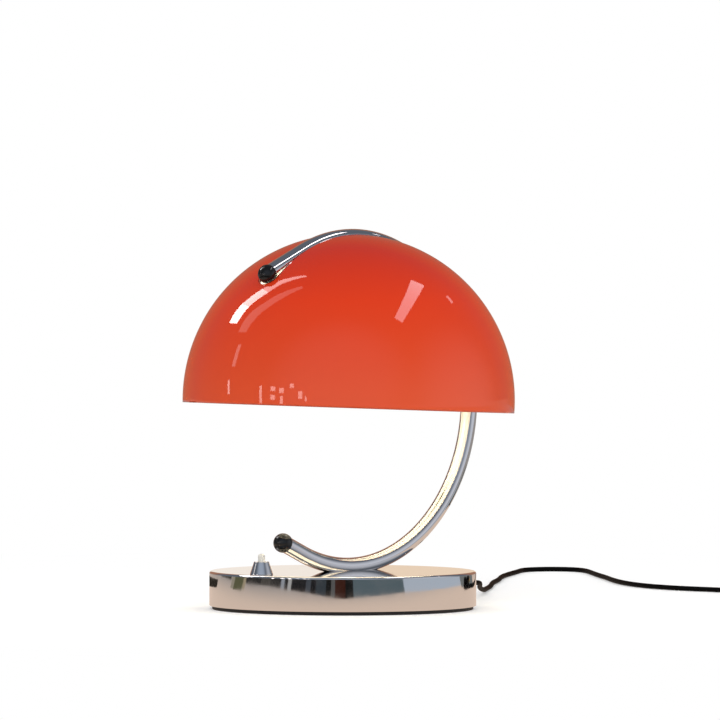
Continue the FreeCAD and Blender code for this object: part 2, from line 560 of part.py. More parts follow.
def bulb_pieces(tip_top):
    """The bulb's tip, cap and glass, hung from the lampholder's contact."""
    x = arc_x
    cap_high = tip_top - dim.bulb_tip_len
    cap_low = cap_high - dim.bulb_cap_len
    node(cylinder(at(x, 0, cap_high), "Dim.bulb_tip_dia", "Dim.bulb_tip_len"), "bulb_tip")
    node(cut(cylinder(at(x, 0, cap_low), "Dim.bulb_cap_dia", "Dim.bulb_cap_len"),
             cylinder(at(x, 0, cap_low - dim.overrun), "Dim.bulb_neck_dia + 2 * Dim.bulb_neck_gap",
                      "Dim.bulb_cap_len")), "bulb_cap")
    centre = tip_top - dim.bulb_len + dim.bulb_dia / 2
    shoulder = math.radians(dim.bulb_shoulder)

    def body(shrink):
        rad = dim.bulb_dia / 2 - shrink
        neck = "Dim.bulb_neck_dia - %r" % (2 * shrink)
        globe = solid("Sphere", at(x, 0, centre), {"Radius": "Dim.bulb_dia / 2 - %r" % shrink})
        from_z = centre + rad * math.sin(shoulder)
        flare = cone(at(x, 0, from_z), "%r" % (2 * rad * math.cos(shoulder)), neck, "%r" % (cap_low - from_z))
        return fuse(globe, flare, cylinder(at(x, 0, cap_low), neck, "Dim.bulb_neck_in + %r" % shrink))
    node(cut(body(0.0), body(dim.bulb_glass_wall)), "bulb_glass")


def shade_pieces(ball_centre):
    """The shade with its slot, and the runners under the slot that ride on the tube."""
    centre = Vector(arc_x + dim.shade_shift, 0, arc_z + dim.shade_lift)
    lean = Rotation(Vector(0, 1, 0), dim.shade_tilt)
    bowl = Placement(centre, lean * Rotation(Vector(0, 0, 1), dim.seam_turn))
    outer = solid("Sphere", bowl, {"Radius": "Dim.shade_dia / 2"})
    outer.Angle1 = -math.degrees(math.asin(dim.rim_drop / (dim.shade_dia / 2)))
    inner = solid("Sphere", bowl, {"Radius": "Dim.shade_dia / 2 - Dim.shade_wall"})
    out = ball_centre - centre
    end = Placement(ball_centre, Rotation(Vector(0, 1, 0), math.degrees(math.atan2(out.x, out.z))))
    slab = box(end * at(0, -slot_half, -dim.shade_dia), "Dim.shade_dia", SLOT_WIDTH, "1.5 * Dim.shade_dia")
    round_end = cylinder(end * at(z=-2 * dim.tube_dia), SLOT_WIDTH, "4 * Dim.tube_dia")
    node(cut(outer, inner, slab, round_end), "shade")

    bottom = arc_rad - dim.tube_dia / 2 - dim.runner_below
    lip_rise = dim.tube_dia / 2 + dim.runner_below + dim.runner_lip
    shoe_low = dim.runner_below - dim.shoe_gap - dim.shoe_thick
    shoes, grubs = [], []
    for label, spot in (("front_runner", dim.front_runner_at), ("rear_runner", dim.rear_runner_at)):
        place = radial(spot, bottom)
        block = box(place * at(-dim.runner_len / 2, -dim.runner_width / 2), "Dim.runner_len",
                    "Dim.runner_width", "Dim.shade_dia / 2")
        inside = solid("Sphere", bowl, {"Radius": "Dim.shade_dia / 2 - Dim.shade_wall - Dim.runner_seat"})
        lip = box(place * at(-dim.runner_len / 2, dim.lip_gap - slot_half), "Dim.runner_len",
                  SLOT_WIDTH + " - 2 * Dim.lip_gap", "%r" % lip_rise)
        hole = cylinder(place * at(z=-dim.overrun), "Dim.grub_dia", "Dim.runner_below + 3 * Dim.overrun")
        node(cut(fuse(common(block, inside), lip), groove("runner_gap"), hole), label)
        shoes.append(cylinder(place * at(z=shoe_low), "Dim.grub_dia - 2 * Dim.grub_gap", "Dim.shoe_thick"))
        grubs.append(cylinder(place * at(z=dim.grub_sink), "Dim.grub_dia - 2 * Dim.grub_gap",
                              "%r" % (shoe_low - dim.grub_gap - dim.grub_sink)))
    node(group(*shoes), "friction_shoes")
    node(group(*grubs), "grub_screws")


def cord_path(points):
    """Straight runs joined by tangent arcs, each as large as its two runs allow."""
    edges, radii = [], []
    start = points[0]
    for before, corner, after in zip(points, points[1:], points[2:]):
        one, two = (before - corner), (after - corner)
        reach = 0.45 * min(one.Length, two.Length)
        one.normalize()
        two.normalize()
        half_turn = (math.pi - one.getAngle(two)) / 2
        radii.append(reach / math.tan(half_turn))
        enter, leave = corner + one * reach, corner + two * reach
        inward = (one + two).normalize()
        middle = corner + inward * (radii[-1] / math.cos(half_turn) - radii[-1])
        edges.append(Part.LineSegment(start, enter).toShape())
        edges.append(Part.Arc(enter, middle, leave).toShape())
        start = leave
    edges.append(Part.LineSegment(start, points[-1]).toShape())
    return Part.Wire(edges), radii


def cord_tube(tip):
    """The cord's tube from its sleeve to the coil."""
    radius = dim.cord_dia / 2
    points = [Vector(tip + dim.tail_gap, 0, dim.lead_level)]
    points += [Vector(x, y, z) for x, y, z in CORD_ROUTE]
    points += [Vector(dim.coil_x - dim.coil_dia / 2 - dim.cord_dia, dim.coil_y + 2 * dim.cord_dia,
                      dim.cord_level)]
    wire, radii = cord_path(points)
    ring = Part.Wire(Part.makeCircle(radius, points[0], points[1] - points[0]))
    tube = Part.Wire(wire).makePipeShell([ring], True, False)
    ratio = tube.Volume / (math.pi * radius ** 2 * wire.Length)
    print("cord radii:", " ".join("%.0f" % r for r in radii))
    print("cord length %.0f, volume ratio %.4f" % (wire.Length, ratio))
    made = doc.addObject("Part::Feature", "Cord")
    made.Shape = tube
    made.Placement = at()
    node(made, "cord")


def coil_and_plug():
    """The coil's outer shape with the tail that leaves it, and the plug at the tail's end."""
    wide = "Dim.coil_dia + Dim.coil_across * Dim.cord_dia"
    narrow = "Dim.coil_dia - Dim.coil_across * Dim.cord_dia"
    top = dim.coil_layers * dim.cord_dia
    ring = cut(cylinder(at(dim.coil_x, dim.coil_y), wide, "Dim.coil_layers * Dim.cord_dia"),
               through(dim.coil_x, dim.coil_y, narrow, 0, top))
    tail_x = dim.coil_x + dim.coil_exit
    tail_z = dim.plug_thick / 2
    tail = cylinder(at(tail_x, dim.coil_y + dim.tail_start, tail_z, NORTH), "Dim.cord_dia",
                    "Dim.coil_tail - Dim.tail_start")
    node(fuse(ring, tail), "cord_coil")

    begin = dim.coil_y + dim.coil_tail
    neck = cone(at(tail_x, begin, tail_z, NORTH), "Dim.plug_neck_dia",
                "Dim.plug_neck_dia + Dim.plug_neck_flare", "Dim.plug_neck_len + Dim.overrun")
    body_low = begin + dim.plug_neck_len
    block = box(at(tail_x - dim.plug_width / 2, body_low, 0), "Dim.plug_width",
                "Dim.plug_len - Dim.plug_neck_len", "Dim.plug_thick")
    doc.recompute()
    corners = doc.addObject("Part::Chamfer", "PlugCorners")
    corners.Base = block
    edges = [number for number, edge in enumerate(block.Shape.Edges, start=1)
             if abs(edge.CenterOfMass.y - body_low) < 0.01 and abs(edge.tangentAt(0).z) > 0.9]
    corners.Edges = [(number, dim.plug_corner, dim.plug_corner) for number in edges]
    node(fuse(corners, neck), "plug_body")
    pins = [cylinder(at(tail_x + side * dim.pin_pitch / 2, begin + dim.plug_len, tail_z, NORTH),
                     "Dim.pin_dia", "Dim.pin_len") for side in (-1, 1)]
    node(group(*pins), "plug_pins")


base_pieces()
saddle_pieces()
upper_ball_centre = arc_pieces()
switch_pieces()
gland_tip = lead_pieces()
bulb_pieces(lampholder_pieces())
shade_pieces(upper_ball_centre)
cord_tube(gland_tip)
coil_and_plug()
doc.recompute()

for made in doc.Objects:
    if {"Invalid", "Error"} & set(made.State):
        raise RuntimeError("%s (%s) failed: %s" % (made.Name, made.Label, made.State))
for made in nodes:
    shape = made.Shape
    if shape.isNull() or not shape.isValid() or not shape.Solids:
        raise RuntimeError("%s has no valid shape" % made.Label)
os.makedirs("parts", exist_ok=True)
for made in nodes:
    made.Shape.exportStep("parts/%s.step" % made.Label)
    bounds = made.Shape.BoundBox
    print("%-18s solids %d  volume %10.1f  z %7.2f to %7.2f" % (
        made.Label, len(made.Shape.Solids), made.Shape.Volume, bounds.ZMin, bounds.ZMax))
print("nodes:", len(nodes))
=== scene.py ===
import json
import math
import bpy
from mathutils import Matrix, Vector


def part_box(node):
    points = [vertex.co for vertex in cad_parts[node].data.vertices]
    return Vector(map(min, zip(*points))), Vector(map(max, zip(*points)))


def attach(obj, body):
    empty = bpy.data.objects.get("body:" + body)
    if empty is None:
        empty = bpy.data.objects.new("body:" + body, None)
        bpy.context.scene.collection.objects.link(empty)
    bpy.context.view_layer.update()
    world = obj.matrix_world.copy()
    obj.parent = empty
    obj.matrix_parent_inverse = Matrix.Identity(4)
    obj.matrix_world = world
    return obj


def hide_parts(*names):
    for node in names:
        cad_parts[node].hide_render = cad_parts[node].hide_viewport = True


bl_info = {
    "name": "Mushroom Table Lamp",
    "version": (1, 0, 0),
    "blender": (4, 5, 0),
    "location": "View3D > Sidebar > Table Lamp",
    "description": "Dresses a table lamp with a domed shade that slides on a C-shaped tube",
    "category": "Add Mesh",
}

import bmesh
import bpy
import numpy as np
from mathutils import Matrix, Vector

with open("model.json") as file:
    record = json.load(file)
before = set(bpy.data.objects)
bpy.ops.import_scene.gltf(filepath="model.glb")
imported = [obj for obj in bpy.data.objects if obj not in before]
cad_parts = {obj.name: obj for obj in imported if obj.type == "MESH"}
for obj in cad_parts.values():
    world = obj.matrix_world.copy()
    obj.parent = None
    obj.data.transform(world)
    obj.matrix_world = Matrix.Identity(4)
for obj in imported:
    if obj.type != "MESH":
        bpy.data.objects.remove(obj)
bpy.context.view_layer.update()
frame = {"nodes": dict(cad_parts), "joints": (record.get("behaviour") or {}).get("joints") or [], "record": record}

MM = 0.001
ARC_CENTRE = np.array(next(joint["pos_m"] for joint in frame["joints"] if joint["name"] == "shade_tilt"))
COVER_LOW, COVER_HIGH = np.array(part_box("base_cover"))
SWITCH_LOW, SWITCH_HIGH = np.array(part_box("switch_collar"))
BUTTON_LOW, BUTTON_HIGH = np.array(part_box("switch_button"))
PLUG_LOW, PLUG_HIGH = np.array(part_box("plug_body"))
SWITCH_PLACE = ((SWITCH_LOW[0] + SWITCH_HIGH[0]) / 2, 0, 0)

# how finely the surfaces are divided
ARC_STEPS = 260
UPPER_STEPS = 16
LOWER_STEPS = 10
TUBE_SIDES = 72
SLOT_ROWS = 34
RIM_ROWS = 62
SHADE_COLUMNS = 150
BALL_ROWS = 40
PLUG_SECTIONS = 70
PLUG_SIDES = 80

# how much wider a ball's flat seat is than the tube in radius, and how far a guard point is off its arc
SEAT_AIR = 0.0001
GUARD = 0.0001

# heights of the cord's middle on the table and where it leaves the base, and its route in metres: down
# from its strain relief, then along the table and back behind the lamp to its coil
CORD_LEVEL = 0.0026
CORD_EXIT_LEVEL = 0.01875
CORD_DESCENT = [
    (0.163, 0.001, 0.0184), (0.182, 0.011, 0.0172), (0.205, 0.034, 0.0140), (0.235, 0.066, 0.0088),
    (0.272, 0.098, 0.0042),
]
CORD_ON_TABLE = [
    (0.311, 0.136), (0.352, 0.171), (0.395, 0.214), (0.441, 0.252), (0.485, 0.294), (0.529, 0.328),
    (0.564, 0.353), (0.588, 0.372), (0.608, 0.378), (0.627, 0.371), (0.637, 0.353), (0.632, 0.331),
    (0.611, 0.301), (0.580, 0.261), (0.548, 0.216), (0.514, 0.172), (0.485, 0.128), (0.465, 0.086),
    (0.455, 0.046), (0.455, 0.008), (0.461, -0.029), (0.454, -0.066), (0.447, -0.085),
]
COIL_CENTRE = (0.470, -0.112)


def length(name, description, default):
    """A length for the panel, in metres."""
    return bpy.props.FloatProperty(name=name, description=description, default=default, unit="LENGTH")


def angle(name, description, degrees):
    """An angle for the panel, given in degrees and kept in radians."""
    return bpy.props.FloatProperty(
        name=name, description=description, default=math.radians(degrees), unit="ROTATION")


def tint(name, description, default):
    """A colour for the panel, in linear red, green and blue."""
    return bpy.props.FloatVectorProperty(
        name=name, description=description, default=default, subtype="COLOR", size=3)


class LampSizes(bpy.types.PropertyGroup):
    """Sizes of the dressed pieces, in metres and radians."""

    shade_dia: length("Shade diameter", "Across the shade's outer face", 0.299)
    shade_wall: length("Shade wall", "Thickness of the moulded shade", 0.003)
    shade_edge: length("Shade edge", "Rounding of the rim and of the slot", 0.0009)
    shade_lift: length("Shade lift", "Shade centre above the arc's centre", 0.0015)
    shade_shift: length("Shade shift", "Shade centre off the arc's centre, to the cord side", -0.0027)
    shade_tilt: angle("Shade tilt", "Lean of the crown towards the cord side", 2.6)
    rim_drop: length("Rim drop", "How far the rim lies under the shade's centre", 0.0079)
    slot_gap: length("Slot gap", "Air at each side of the tube in the slot", 0.00175)
    tube_dia: length("Tube diameter", "Outer diameter of the bent tube", 0.015)
    arc_radius: length("Arc radius", "Radius of the tube's centre line", 0.1479)
    upper_tangent: angle("Upper end of the arc", "Angle past the crest where it ends above", -24.0)
    lower_tangent: angle("Lower end of the arc", "Angle past the crest where it ends below", 204.0)
    upper_straight: length("Upper straight end", "Straight length before the upper ball", 0.0423)
    lower_straight: length("Lower straight end", "Straight length before the lower ball", 0.0211)
    ball_dia: length("Ball diameter", "Diameter of the two ball ends", 0.0175)
    base_dia: length("Base diameter", "Outer diameter of the base", 0.240)
    cover_round: length("Cover rounding", "Rounding of the base's upper edge", 0.002)
    cord_dia: length("Cord diameter", "Outer diameter of the mains cord", 0.0046)
    coil_dia: length("Coil diameter", "Across the coil at the middle of its turns", 0.054)


class LampColours(bpy.types.PropertyGroup):
    """Colours of the finishes."""

    shade: tint("Shade", "Tinted acrylic of the shade", (0.74, 0.046, 0.009))
    # painted light: this lighter red tints the shade towards its rim, where light would brighten it
    shade_painted_light: tint("Shade near its rim", "The acrylic where light gathers in it", (0.79, 0.098, 0.030))
    shade_inside: tint("Shade inside", "Opal inner coat of the shade", (0.86, 0.83, 0.76))
    chrome: tint("Chrome", "Polished metal", (0.80, 0.79, 0.78))
    black: tint("Black", "Ball ends", (0.006, 0.006, 0.006))
    ivory: tint("Ivory", "Switch button", (0.78, 0.76, 0.70))
    cord: tint("Cord", "Cord sheath and plug", (0.004, 0.004, 0.004))
    floor: tint("Floor", "Floor under the lamp", (0.80, 0.80, 0.80))


# ---- meshes


def unit(way):
    """The direction of a vector, with length 1."""
    return way / np.linalg.norm(way)


def grid_faces(rows, cols, closed=False):
    """Quads of a grid whose points run row by row; closed joins the last column to the first."""
    across = cols if closed else cols - 1
    row = np.arange(rows - 1)[:, None]
    col = np.arange(across)[None, :]
    following = (col + 1) % cols
    here, above = row * cols, (row + 1) * cols
    return np.stack([here + col, here + following, above + following, above + col], -1).reshape(-1, 4)


def placed(name, data):
    """A new object in the scene that shows some data."""
    made = bpy.data.objects.new(name, data)
    bpy.context.scene.collection.objects.link(made)
    return made


def piece(name, points, faces, slot, node, body="lamp", merge=1e-6):
    """A smooth mesh from points and quads, doubles merged and normals turned outwards, on a body.

    It gets the finish of a slot and stands for a carried-over node."""
    mesh = bpy.data.meshes.new(name)
    mesh.from_pydata(points.reshape(-1, 3), [], faces)
    work = bmesh.new()
    work.from_mesh(mesh)
    bmesh.ops.remove_doubles(work, verts=work.verts, dist=merge)
    bmesh.ops.dissolve_degenerate(work, edges=work.edges, dist=merge / 4)
    bmesh.ops.recalc_face_normals(work, faces=work.faces)
    work.to_mesh(mesh)
    work.free()
    mesh.shade_smooth()
    made = placed(name, mesh)
    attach(made, body)
    return dress(made, slot, node)


def sharpen(made, degrees=40):
    """Marks the edges where faces meet at more than an angle, so that they shade as corners."""
    made.data.set_sharp_from_angle(angle=math.radians(degrees))


def rounded(corners, steps=6):
    """An outline in (radius, height) whose corners are arcs: each corner gives its point and rounding.

    The arc about a corner starts and ends at the rounding over the tangent of half the corner's angle,
    and its points turn evenly from one side's normal to the other's. A guard point just beyond each end
    of the arc keeps the flat sides flat in the smooth shading."""
    points = np.array([corner[:2] for corner in corners], float)
    outline = [points[:1]]
    for before, corner, after, (_, _, size) in zip(points, points[1:], points[2:], corners[1:-1]):
        one, two = unit(before - corner), unit(after - corner)
        half = math.acos(np.clip(one @ two, -1, 1)) / 2
        if size <= 0 or half < 1e-3:
            outline.append(corner[None])
            continue
        middle = corner + unit(one + two) * size / math.sin(half)
        start = corner + one * size / math.tan(half) - middle
        end = corner + two * size / math.tan(half) - middle
        turn = math.atan2(start[0] * end[1] - start[1] * end[0], start @ end)
        angles = np.linspace(0, turn, steps + 1)
        cos, sin = np.cos(angles)[:, None], np.sin(angles)[:, None]
        arc = middle + cos * start + sin * np.array([-start[1], start[0]])
        outline += [(arc[0] + one * GUARD)[None], arc, (arc[-1] + two * GUARD)[None]]
    outline.append(points[-1:])
    return np.concatenate(outline)


def spaced(outline, longest):
    """The outline with its long sides divided evenly, so that no side is longer than a length."""
    out = [outline[:1]]
    for one, two in zip(outline, outline[1:]):
        count = max(1, int(np.ceil(np.linalg.norm(two - one) / longest)))
        out.append(one + (two - one) * np.linspace(0, 1, count + 1)[1:, None])
    return np.concatenate(out)


def lathe(name, outline, slot, node, body="lamp", at=(0, 0, 0), axis=(0, 0, 1), segments=96):
    """A surface of revolution: each outline point (radius, height) turns about the axis, so a point is
    the place + height along the axis + radius times (cos, sin) of the turn across it."""
    axis = unit(np.array(axis, float))
    side = unit(np.cross(axis, (0, 1, 0) if abs(axis[1]) < 0.9 else (1, 0, 0)))
    other = np.cross(axis, side)
    turn = np.linspace(0, 2 * np.pi, segments, endpoint=False)
    ring = np.cos(turn)[:, None] * side + np.sin(turn)[:, None] * other
    points = at + outline[:, 1, None, None] * axis + outline[:, 0, None, None] * ring
    return piece(name, points, grid_faces(len(outline), segments, closed=True), slot, node, body)


def bow_line(sizes):
    """The tube's centre line and its tangents: a straight end, the arc by its angle, a straight end.

    The angle runs past the crest towards the cord side: a point is centre + radius (sin, 0, cos)."""
    angles = np.linspace(sizes.upper_tangent, sizes.lower_tangent, ARC_STEPS)
    sin, cos, none = np.sin(angles), np.cos(angles), np.zeros_like(angles)
    line = ARC_CENTRE + sizes.arc_radius * np.stack([sin, none, cos], -1)
    heading = np.stack([cos, none, -sin], -1)
    back = np.linspace(sizes.upper_straight, 0, UPPER_STEPS, endpoint=False)[:, None]
    front = np.linspace(0, sizes.lower_straight, LOWER_STEPS)[1:, None]
    line = np.concatenate([line[0] - back * heading[0], line, line[-1] + front * heading[-1]])
    heading = np.concatenate([
        np.repeat(heading[:1], len(back), 0), heading, np.repeat(heading[-1:], len(front), 0)])
    return line, heading


def shade_rows(sizes, start, slot_end):
    """Polar angles of the shade's rows, closer together where the slot's outline turns."""
    rim = math.acos(-(sizes.rim_drop - sizes.shade_edge) / (sizes.shade_dia / 2))
    middle = (start + slot_end) / 2
    ease = np.linspace(0, 1, SLOT_ROWS)
    first = start + (middle - start) * ease ** 2
    second = slot_end - (slot_end - middle) * (1 - ease[1:]) ** 2
    third = slot_end + (rim - slot_end) * np.linspace(0, 1, RIM_ROWS)[1:]
    return np.concatenate([first, second, third]), len(first) + len(second) - 1


def shade_frame(sizes):
    """The shade's centre and its turned axes: across X, along Y and up its pole."""
    cos, sin = math.cos(sizes.shade_tilt), math.sin(sizes.shade_tilt)
    centre = ARC_CENTRE + (sizes.shade_shift, 0, sizes.shade_lift)
    return centre, np.array([[cos, 0, -sin], [0, 1, 0], [sin, 0, cos]])


def ball_seat(sizes):
    """The radius of the ball's flat seat on the tube's end, and how far the ball's centre is beyond it."""
    seat = sizes.tube_dia / 2 + SEAT_AIR
    return seat, math.sqrt((sizes.ball_dia / 2) ** 2 - seat ** 2)


def upper_ball_angle(sizes):
    """The angle between the shade's pole and the direction of the upper ball."""
    line, heading = bow_line(sizes)
    centre, axes = shade_frame(sizes)
    way = unit(line[0] - heading[0] * ball_seat(sizes)[1] - centre)
    return math.acos(way @ axes[2])


def slotted_bowl(sizes):
    """Half of the outer face, as points (row, column) on a unit of the shade's own axes.

    A row has one polar angle. Its azimuth runs evenly from the slot's edge on the cord side to the
    slot's edge on the other side, or to the plane of the tube where the slot has ended: a straight
    edge lies at arcsin(half width / (radius sin polar)), and the round end lies where the direction
    is the end's own angle away from the ball's direction."""
    radius = sizes.shade_dia / 2
    half = sizes.tube_dia / 2 + sizes.slot_gap + sizes.shade_edge
    ball = upper_ball_angle(sizes)
    width = math.asin(half / radius)
    polar, end_row = shade_rows(sizes, width, ball + width)
    sine = np.sin(polar)
    straight = np.arcsin(np.clip(half / (radius * sine), -1, 1))
    cosine = (np.cos(width) - np.cos(polar) * math.cos(ball)) / (sine * math.sin(ball))
    curved = np.arccos(np.clip(cosine, -1, 1))
    before_end = np.cos(polar) > math.cos(ball) * math.cos(width)
    far = np.where(before_end, straight, curved)
    far[end_row:] = 0.0
    share = np.linspace(0, 1, SHADE_COLUMNS)
    azimuth = straight[:, None] + share * (np.pi - far - straight)[:, None]
    level = polar[:, None] * np.ones_like(share)
    across = np.sin(level)
    return np.stack([across * np.cos(azimuth), across * np.sin(azimuth), np.cos(level)], -1), end_row


def bowl_edge(upper, end_row):
    """The open edge of the outer face in order: slot, round end, slot again, then the rim."""
    lower = upper * (1, -1, 1)
    return np.concatenate([
        upper[::-1, 0], upper[1:end_row + 1, -1], lower[end_row - 1:0:-1, -1], lower[:, 0],
        lower[-1, 1:], upper[-1, -2:0:-1]])


def shell(sizes):
    """The whole wall: outer face, inner face and the rounded edge that joins them.

    Along the edge, a profile runs out and in again: a quarter round, the wall, a quarter round. Its
    outward direction is the edge's own normal that lies in the sphere."""
    radius, wall, edge = sizes.shade_dia / 2, sizes.shade_wall, sizes.shade_edge
    centre, axes = shade_frame(sizes)
    upper, end_row = slotted_bowl(sizes)
    rows, cols = upper.shape[:2]
    quads = grid_faces(rows, cols)
    loop = bowl_edge(upper, end_row)
    loop = loop[np.linalg.norm(loop - np.roll(loop, 1, axis=0), axis=1) > 1e-7]
    ahead = np.roll(loop, -1, axis=0) - np.roll(loop, 1, axis=0)
    outward = np.cross(ahead, loop)
    outward /= np.linalg.norm(outward, axis=1)[:, None]
    quarter = np.linspace(0, np.pi / 2, 5)
    out = np.concatenate([edge * np.sin(quarter), edge * np.cos(quarter)])
    depth = np.concatenate([edge * (1 - np.cos(quarter)), wall - edge * (1 - np.sin(quarter))])
    strip = loop[None] * (radius - depth)[:, None, None] + outward[None] * out[:, None, None]
    parts, faces, count = [], [], 0
    for mirror in (1, -1):
        for reach in (radius, radius - wall):
            parts.append((upper * (1, mirror, 1) * reach).reshape(-1, 3))
            faces.append(quads + count)
            count += rows * cols
    parts.append(strip.reshape(-1, 3))
    faces.append(grid_faces(len(out), len(loop), closed=True) + count)
    return centre + np.concatenate(parts) @ axes, np.concatenate(faces)


# ---- materials


class Tree:
    """The node tree of a material or a world, with short calls for its nodes."""

    def __init__(self, owner):
        owner.use_nodes = True
        self.nodes = owner.node_tree.nodes
        self.links = owner.node_tree.links

    def add(self, kind, sockets=None, out=0, **settings):
        """One output of a new node with its own settings. Each socket takes a value or another output."""
        node = self.nodes.new(kind)
        for key, value in settings.items():
            setattr(node, key, value)
        for key, value in (sockets or {}).items():
            if isinstance(value, bpy.types.NodeSocket):
                self.links.new(value, node.inputs[key])
            else:
                node.inputs[key].default_value = value
        return node.outputs[out]

    def place(self):
        """The shaded point in the object's own coordinates."""
        return self.add("ShaderNodeTexCoord", out="Object")

    def span(self, source, low, high, to_low=0.0, to_high=1.0, **settings):
        """A source's range from low to high, mapped to another range and held inside it."""
        return self.add("ShaderNodeMapRange", {
            "Value": source, "From Min": low, "From Max": high,
            "To Min": to_low, "To Max": to_high}, **settings)

    def beyond(self, centre, near, far, **settings):
        """0 inside the near distance from a point of the object and 1 outside the far one."""
        sockets = {0: self.place(), 1: tuple(centre)}
        away = self.add("ShaderNodeVectorMath", sockets, "Value", operation="DISTANCE")
        return self.span(away, near, far, **settings)

    def glow(self, colour, strength=1.0):
        """An even glow, at a strength where 1 is white."""
        return self.add("ShaderNodeEmission", {"Color": (*colour, 1), "Strength": strength})

    def mix(self, share, first, second):
        """The first shader where the share is 0 and the second where it is 1."""
        return self.add("ShaderNodeMixShader", {"Fac": share, 1: first, 2: second})

    def show(self, shader):
        """Leads a shader to the surface of the material or world."""
        last = next(node for node in self.nodes if node.type.startswith("OUTPUT"))
        self.links.new(shader, last.inputs["Surface"])


# the range that holds most of a noise
NOISE_MIDDLE = (0.3, 0.7)


class Finish(Tree):
    """A procedural material on the object's own coordinates, from values for its shader's sockets."""

    def __init__(self, colour=None, **values):
        self.material = bpy.data.materials.new("finish")
        super().__init__(self.material)
        self.shader = self.nodes["Principled BSDF"]
        if colour:
            self.shader.inputs["Base Color"].default_value = (*colour, 1.0)
        for key, value in values.items():
            name = key.replace("_", " ").title().replace("Ior", "IOR")
            self.shader.inputs[name].default_value = value

    def lead(self, source, socket):
        """Leads an output to a socket of the shader."""
        self.links.new(source, self.shader.inputs[socket])

    def noise(self, scale, detail, stretch=(1, 1, 1)):
        """Noise of some scale and detail, stretched along the object's axes."""
        place = self.add("ShaderNodeMapping", {"Vector": self.place(), "Scale": stretch})
        return self.add("ShaderNodeTexNoise", {"Vector": place, "Scale": scale, "Detail": detail}, "Fac")

    def rough(self, noise, low, high):
        """Roughness between low and high, as the middle range of a noise goes."""
        self.lead(self.span(self.noise(*noise), *NOISE_MIDDLE, low, high), "Roughness")
        return self

    def bump(self, noise, depth):
        """Bumps of some depth by a noise, and with them the material is done."""
        self.lead(self.add("ShaderNodeBump", {"Height": self.noise(*noise), "Distance": depth}), "Normal")
        return self.material

    def ramp(self, source, stops):
        """A colour ramp from its stops of position and colour."""
        made = self.add("ShaderNodeValToRGB", {"Fac": source}, "Color")
        elements = made.node.color_ramp.elements
        while len(elements) < len(stops):
            elements.new(0.5)
        for element, (position, colour) in zip(elements, stops):
            element.position = position
            element.color = (*colour, 1.0)
        return made


def chosen(name):
    """One of the panel's colours."""
    return tuple(getattr(bpy.context.scene.lamp_colours, name))


def polished_chrome():
    """Bright plated metal: a very slight haze that varies, and soft waves left by polishing."""
    return Finish(chosen("chrome"), metallic=1.0).rough((90, 4), 0.030, 0.060).bump((28, 2), 0.00002)


# painted shade: a dark red mixed in to darken the shade's crown
CROWN_PAINTED_SHADE = np.array([0.46, 0.014, 0.008])


def tinted_acrylic():
    """Two-coat acrylic: glossy red outside, lighter towards the rim by painted light and darker at the crown by
    painted shade, and opal white on its inner face.
    """
    sizes = bpy.context.scene.lamp_sizes
    finish = Finish(roughness=0.03, ior=1.49)
    low, crown = (corner[2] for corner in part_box("shade"))
    deep, pale = np.array(chosen("shade")), np.array(chosen("shade_painted_light"))
    height = finish.add("ShaderNodeSeparateXYZ", {"Vector": finish.place()}, "Z")
    # painted light and shade: by height, the red runs from lighter at the rim to darker at the crown
    red = finish.ramp(finish.span(height, low, crown), [
        (0.0, pale), (0.30, (deep + pale) / 2), (0.65, deep), (1.0, deep * 0.3 + CROWN_PAINTED_SHADE * 0.7)])
    opal = (*chosen("shade_inside"), 1.0)
    inner = sizes.shade_dia / 2 - sizes.shade_wall
    outside = finish.beyond(shade_frame(sizes)[0], inner + 0.0008, inner + 0.0010)
    colour = finish.add("ShaderNodeMix", {0: outside, 6: opal, 7: red}, 2, data_type="RGBA")
    finish.lead(colour, "Base Color")
    return finish.bump((14, 2), 0.00005)


def black_gloss():
    """Glossy black phenolic with fine orange peel, for the balls."""
    return Finish(chosen("black")).rough((400, 3), 0.06, 0.12).bump((260, 2), 0.00002)


def black_rubber():
    """Dull grainy rubber of the foot pad."""
    return Finish((0.015, 0.015, 0.016), ior=1.45).rough((600, 4), 0.55, 0.75).bump((900, 4), 0.00008)


def ivory_button():
    """Satin moulded plastic of the switch button."""
    return Finish(chosen("ivory")).rough((500, 3), 0.22, 0.32).bump((700, 3), 0.00002)


def cast_iron():
    """Grainy dark casting of the base's weight."""
    return Finish((0.12, 0.12, 0.125), metallic=0.7).rough((300, 5), 0.55, 0.8).bump((420, 6), 0.0004)


def zinc_steel():
    """Plated steel with fine marks across its height."""
    finish = Finish((0.55, 0.56, 0.57), metallic=1.0)
    return finish.rough((350, 4, (1, 1, 6)), 0.25, 0.42).bump((800, 3), 0.00003)


def turned_brass():
    """Brass with fine rings across its height."""
    finish = Finish((0.70, 0.52, 0.22), metallic=1.0)
    return finish.rough((500, 3, (1, 1, 8)), 0.18, 0.32).bump((900, 2, (1, 1, 9)), 0.00002)


def holder_black():
    """Satin black moulding of the lampholder."""
    return Finish((0.02, 0.02, 0.022)).rough((400, 3), 0.35, 0.5).bump((600, 3), 0.00003)


def white_ceramic():
    """Glazed white ceramic, also for the terminal block."""
    return Finish((0.82, 0.81, 0.77)).rough((300, 3), 0.15, 0.25).bump((200, 2), 0.00003)


def opal_glass():
    """Opal bulb glass: white, smooth, slightly translucent."""
    finish = Finish((0.86, 0.85, 0.80), ior=1.5, subsurface_weight=0.3,
                    subsurface_radius=(0.004, 0.004, 0.004))
    return finish.rough((60, 2), 0.08, 0.14).bump((40, 2), 0.00003)


def natural_nylon():
    """Waxy pale nylon."""
    return Finish((0.80, 0.78, 0.71)).rough((300, 4), 0.4, 0.55).bump((700, 4), 0.00004)


def cord_sheath():
    """Black flexible sheath: satin, with fine mottling."""
    return Finish(chosen("cord"), ior=1.08).rough((500, 4), 0.45, 0.60).bump((1200, 3), 0.00004)


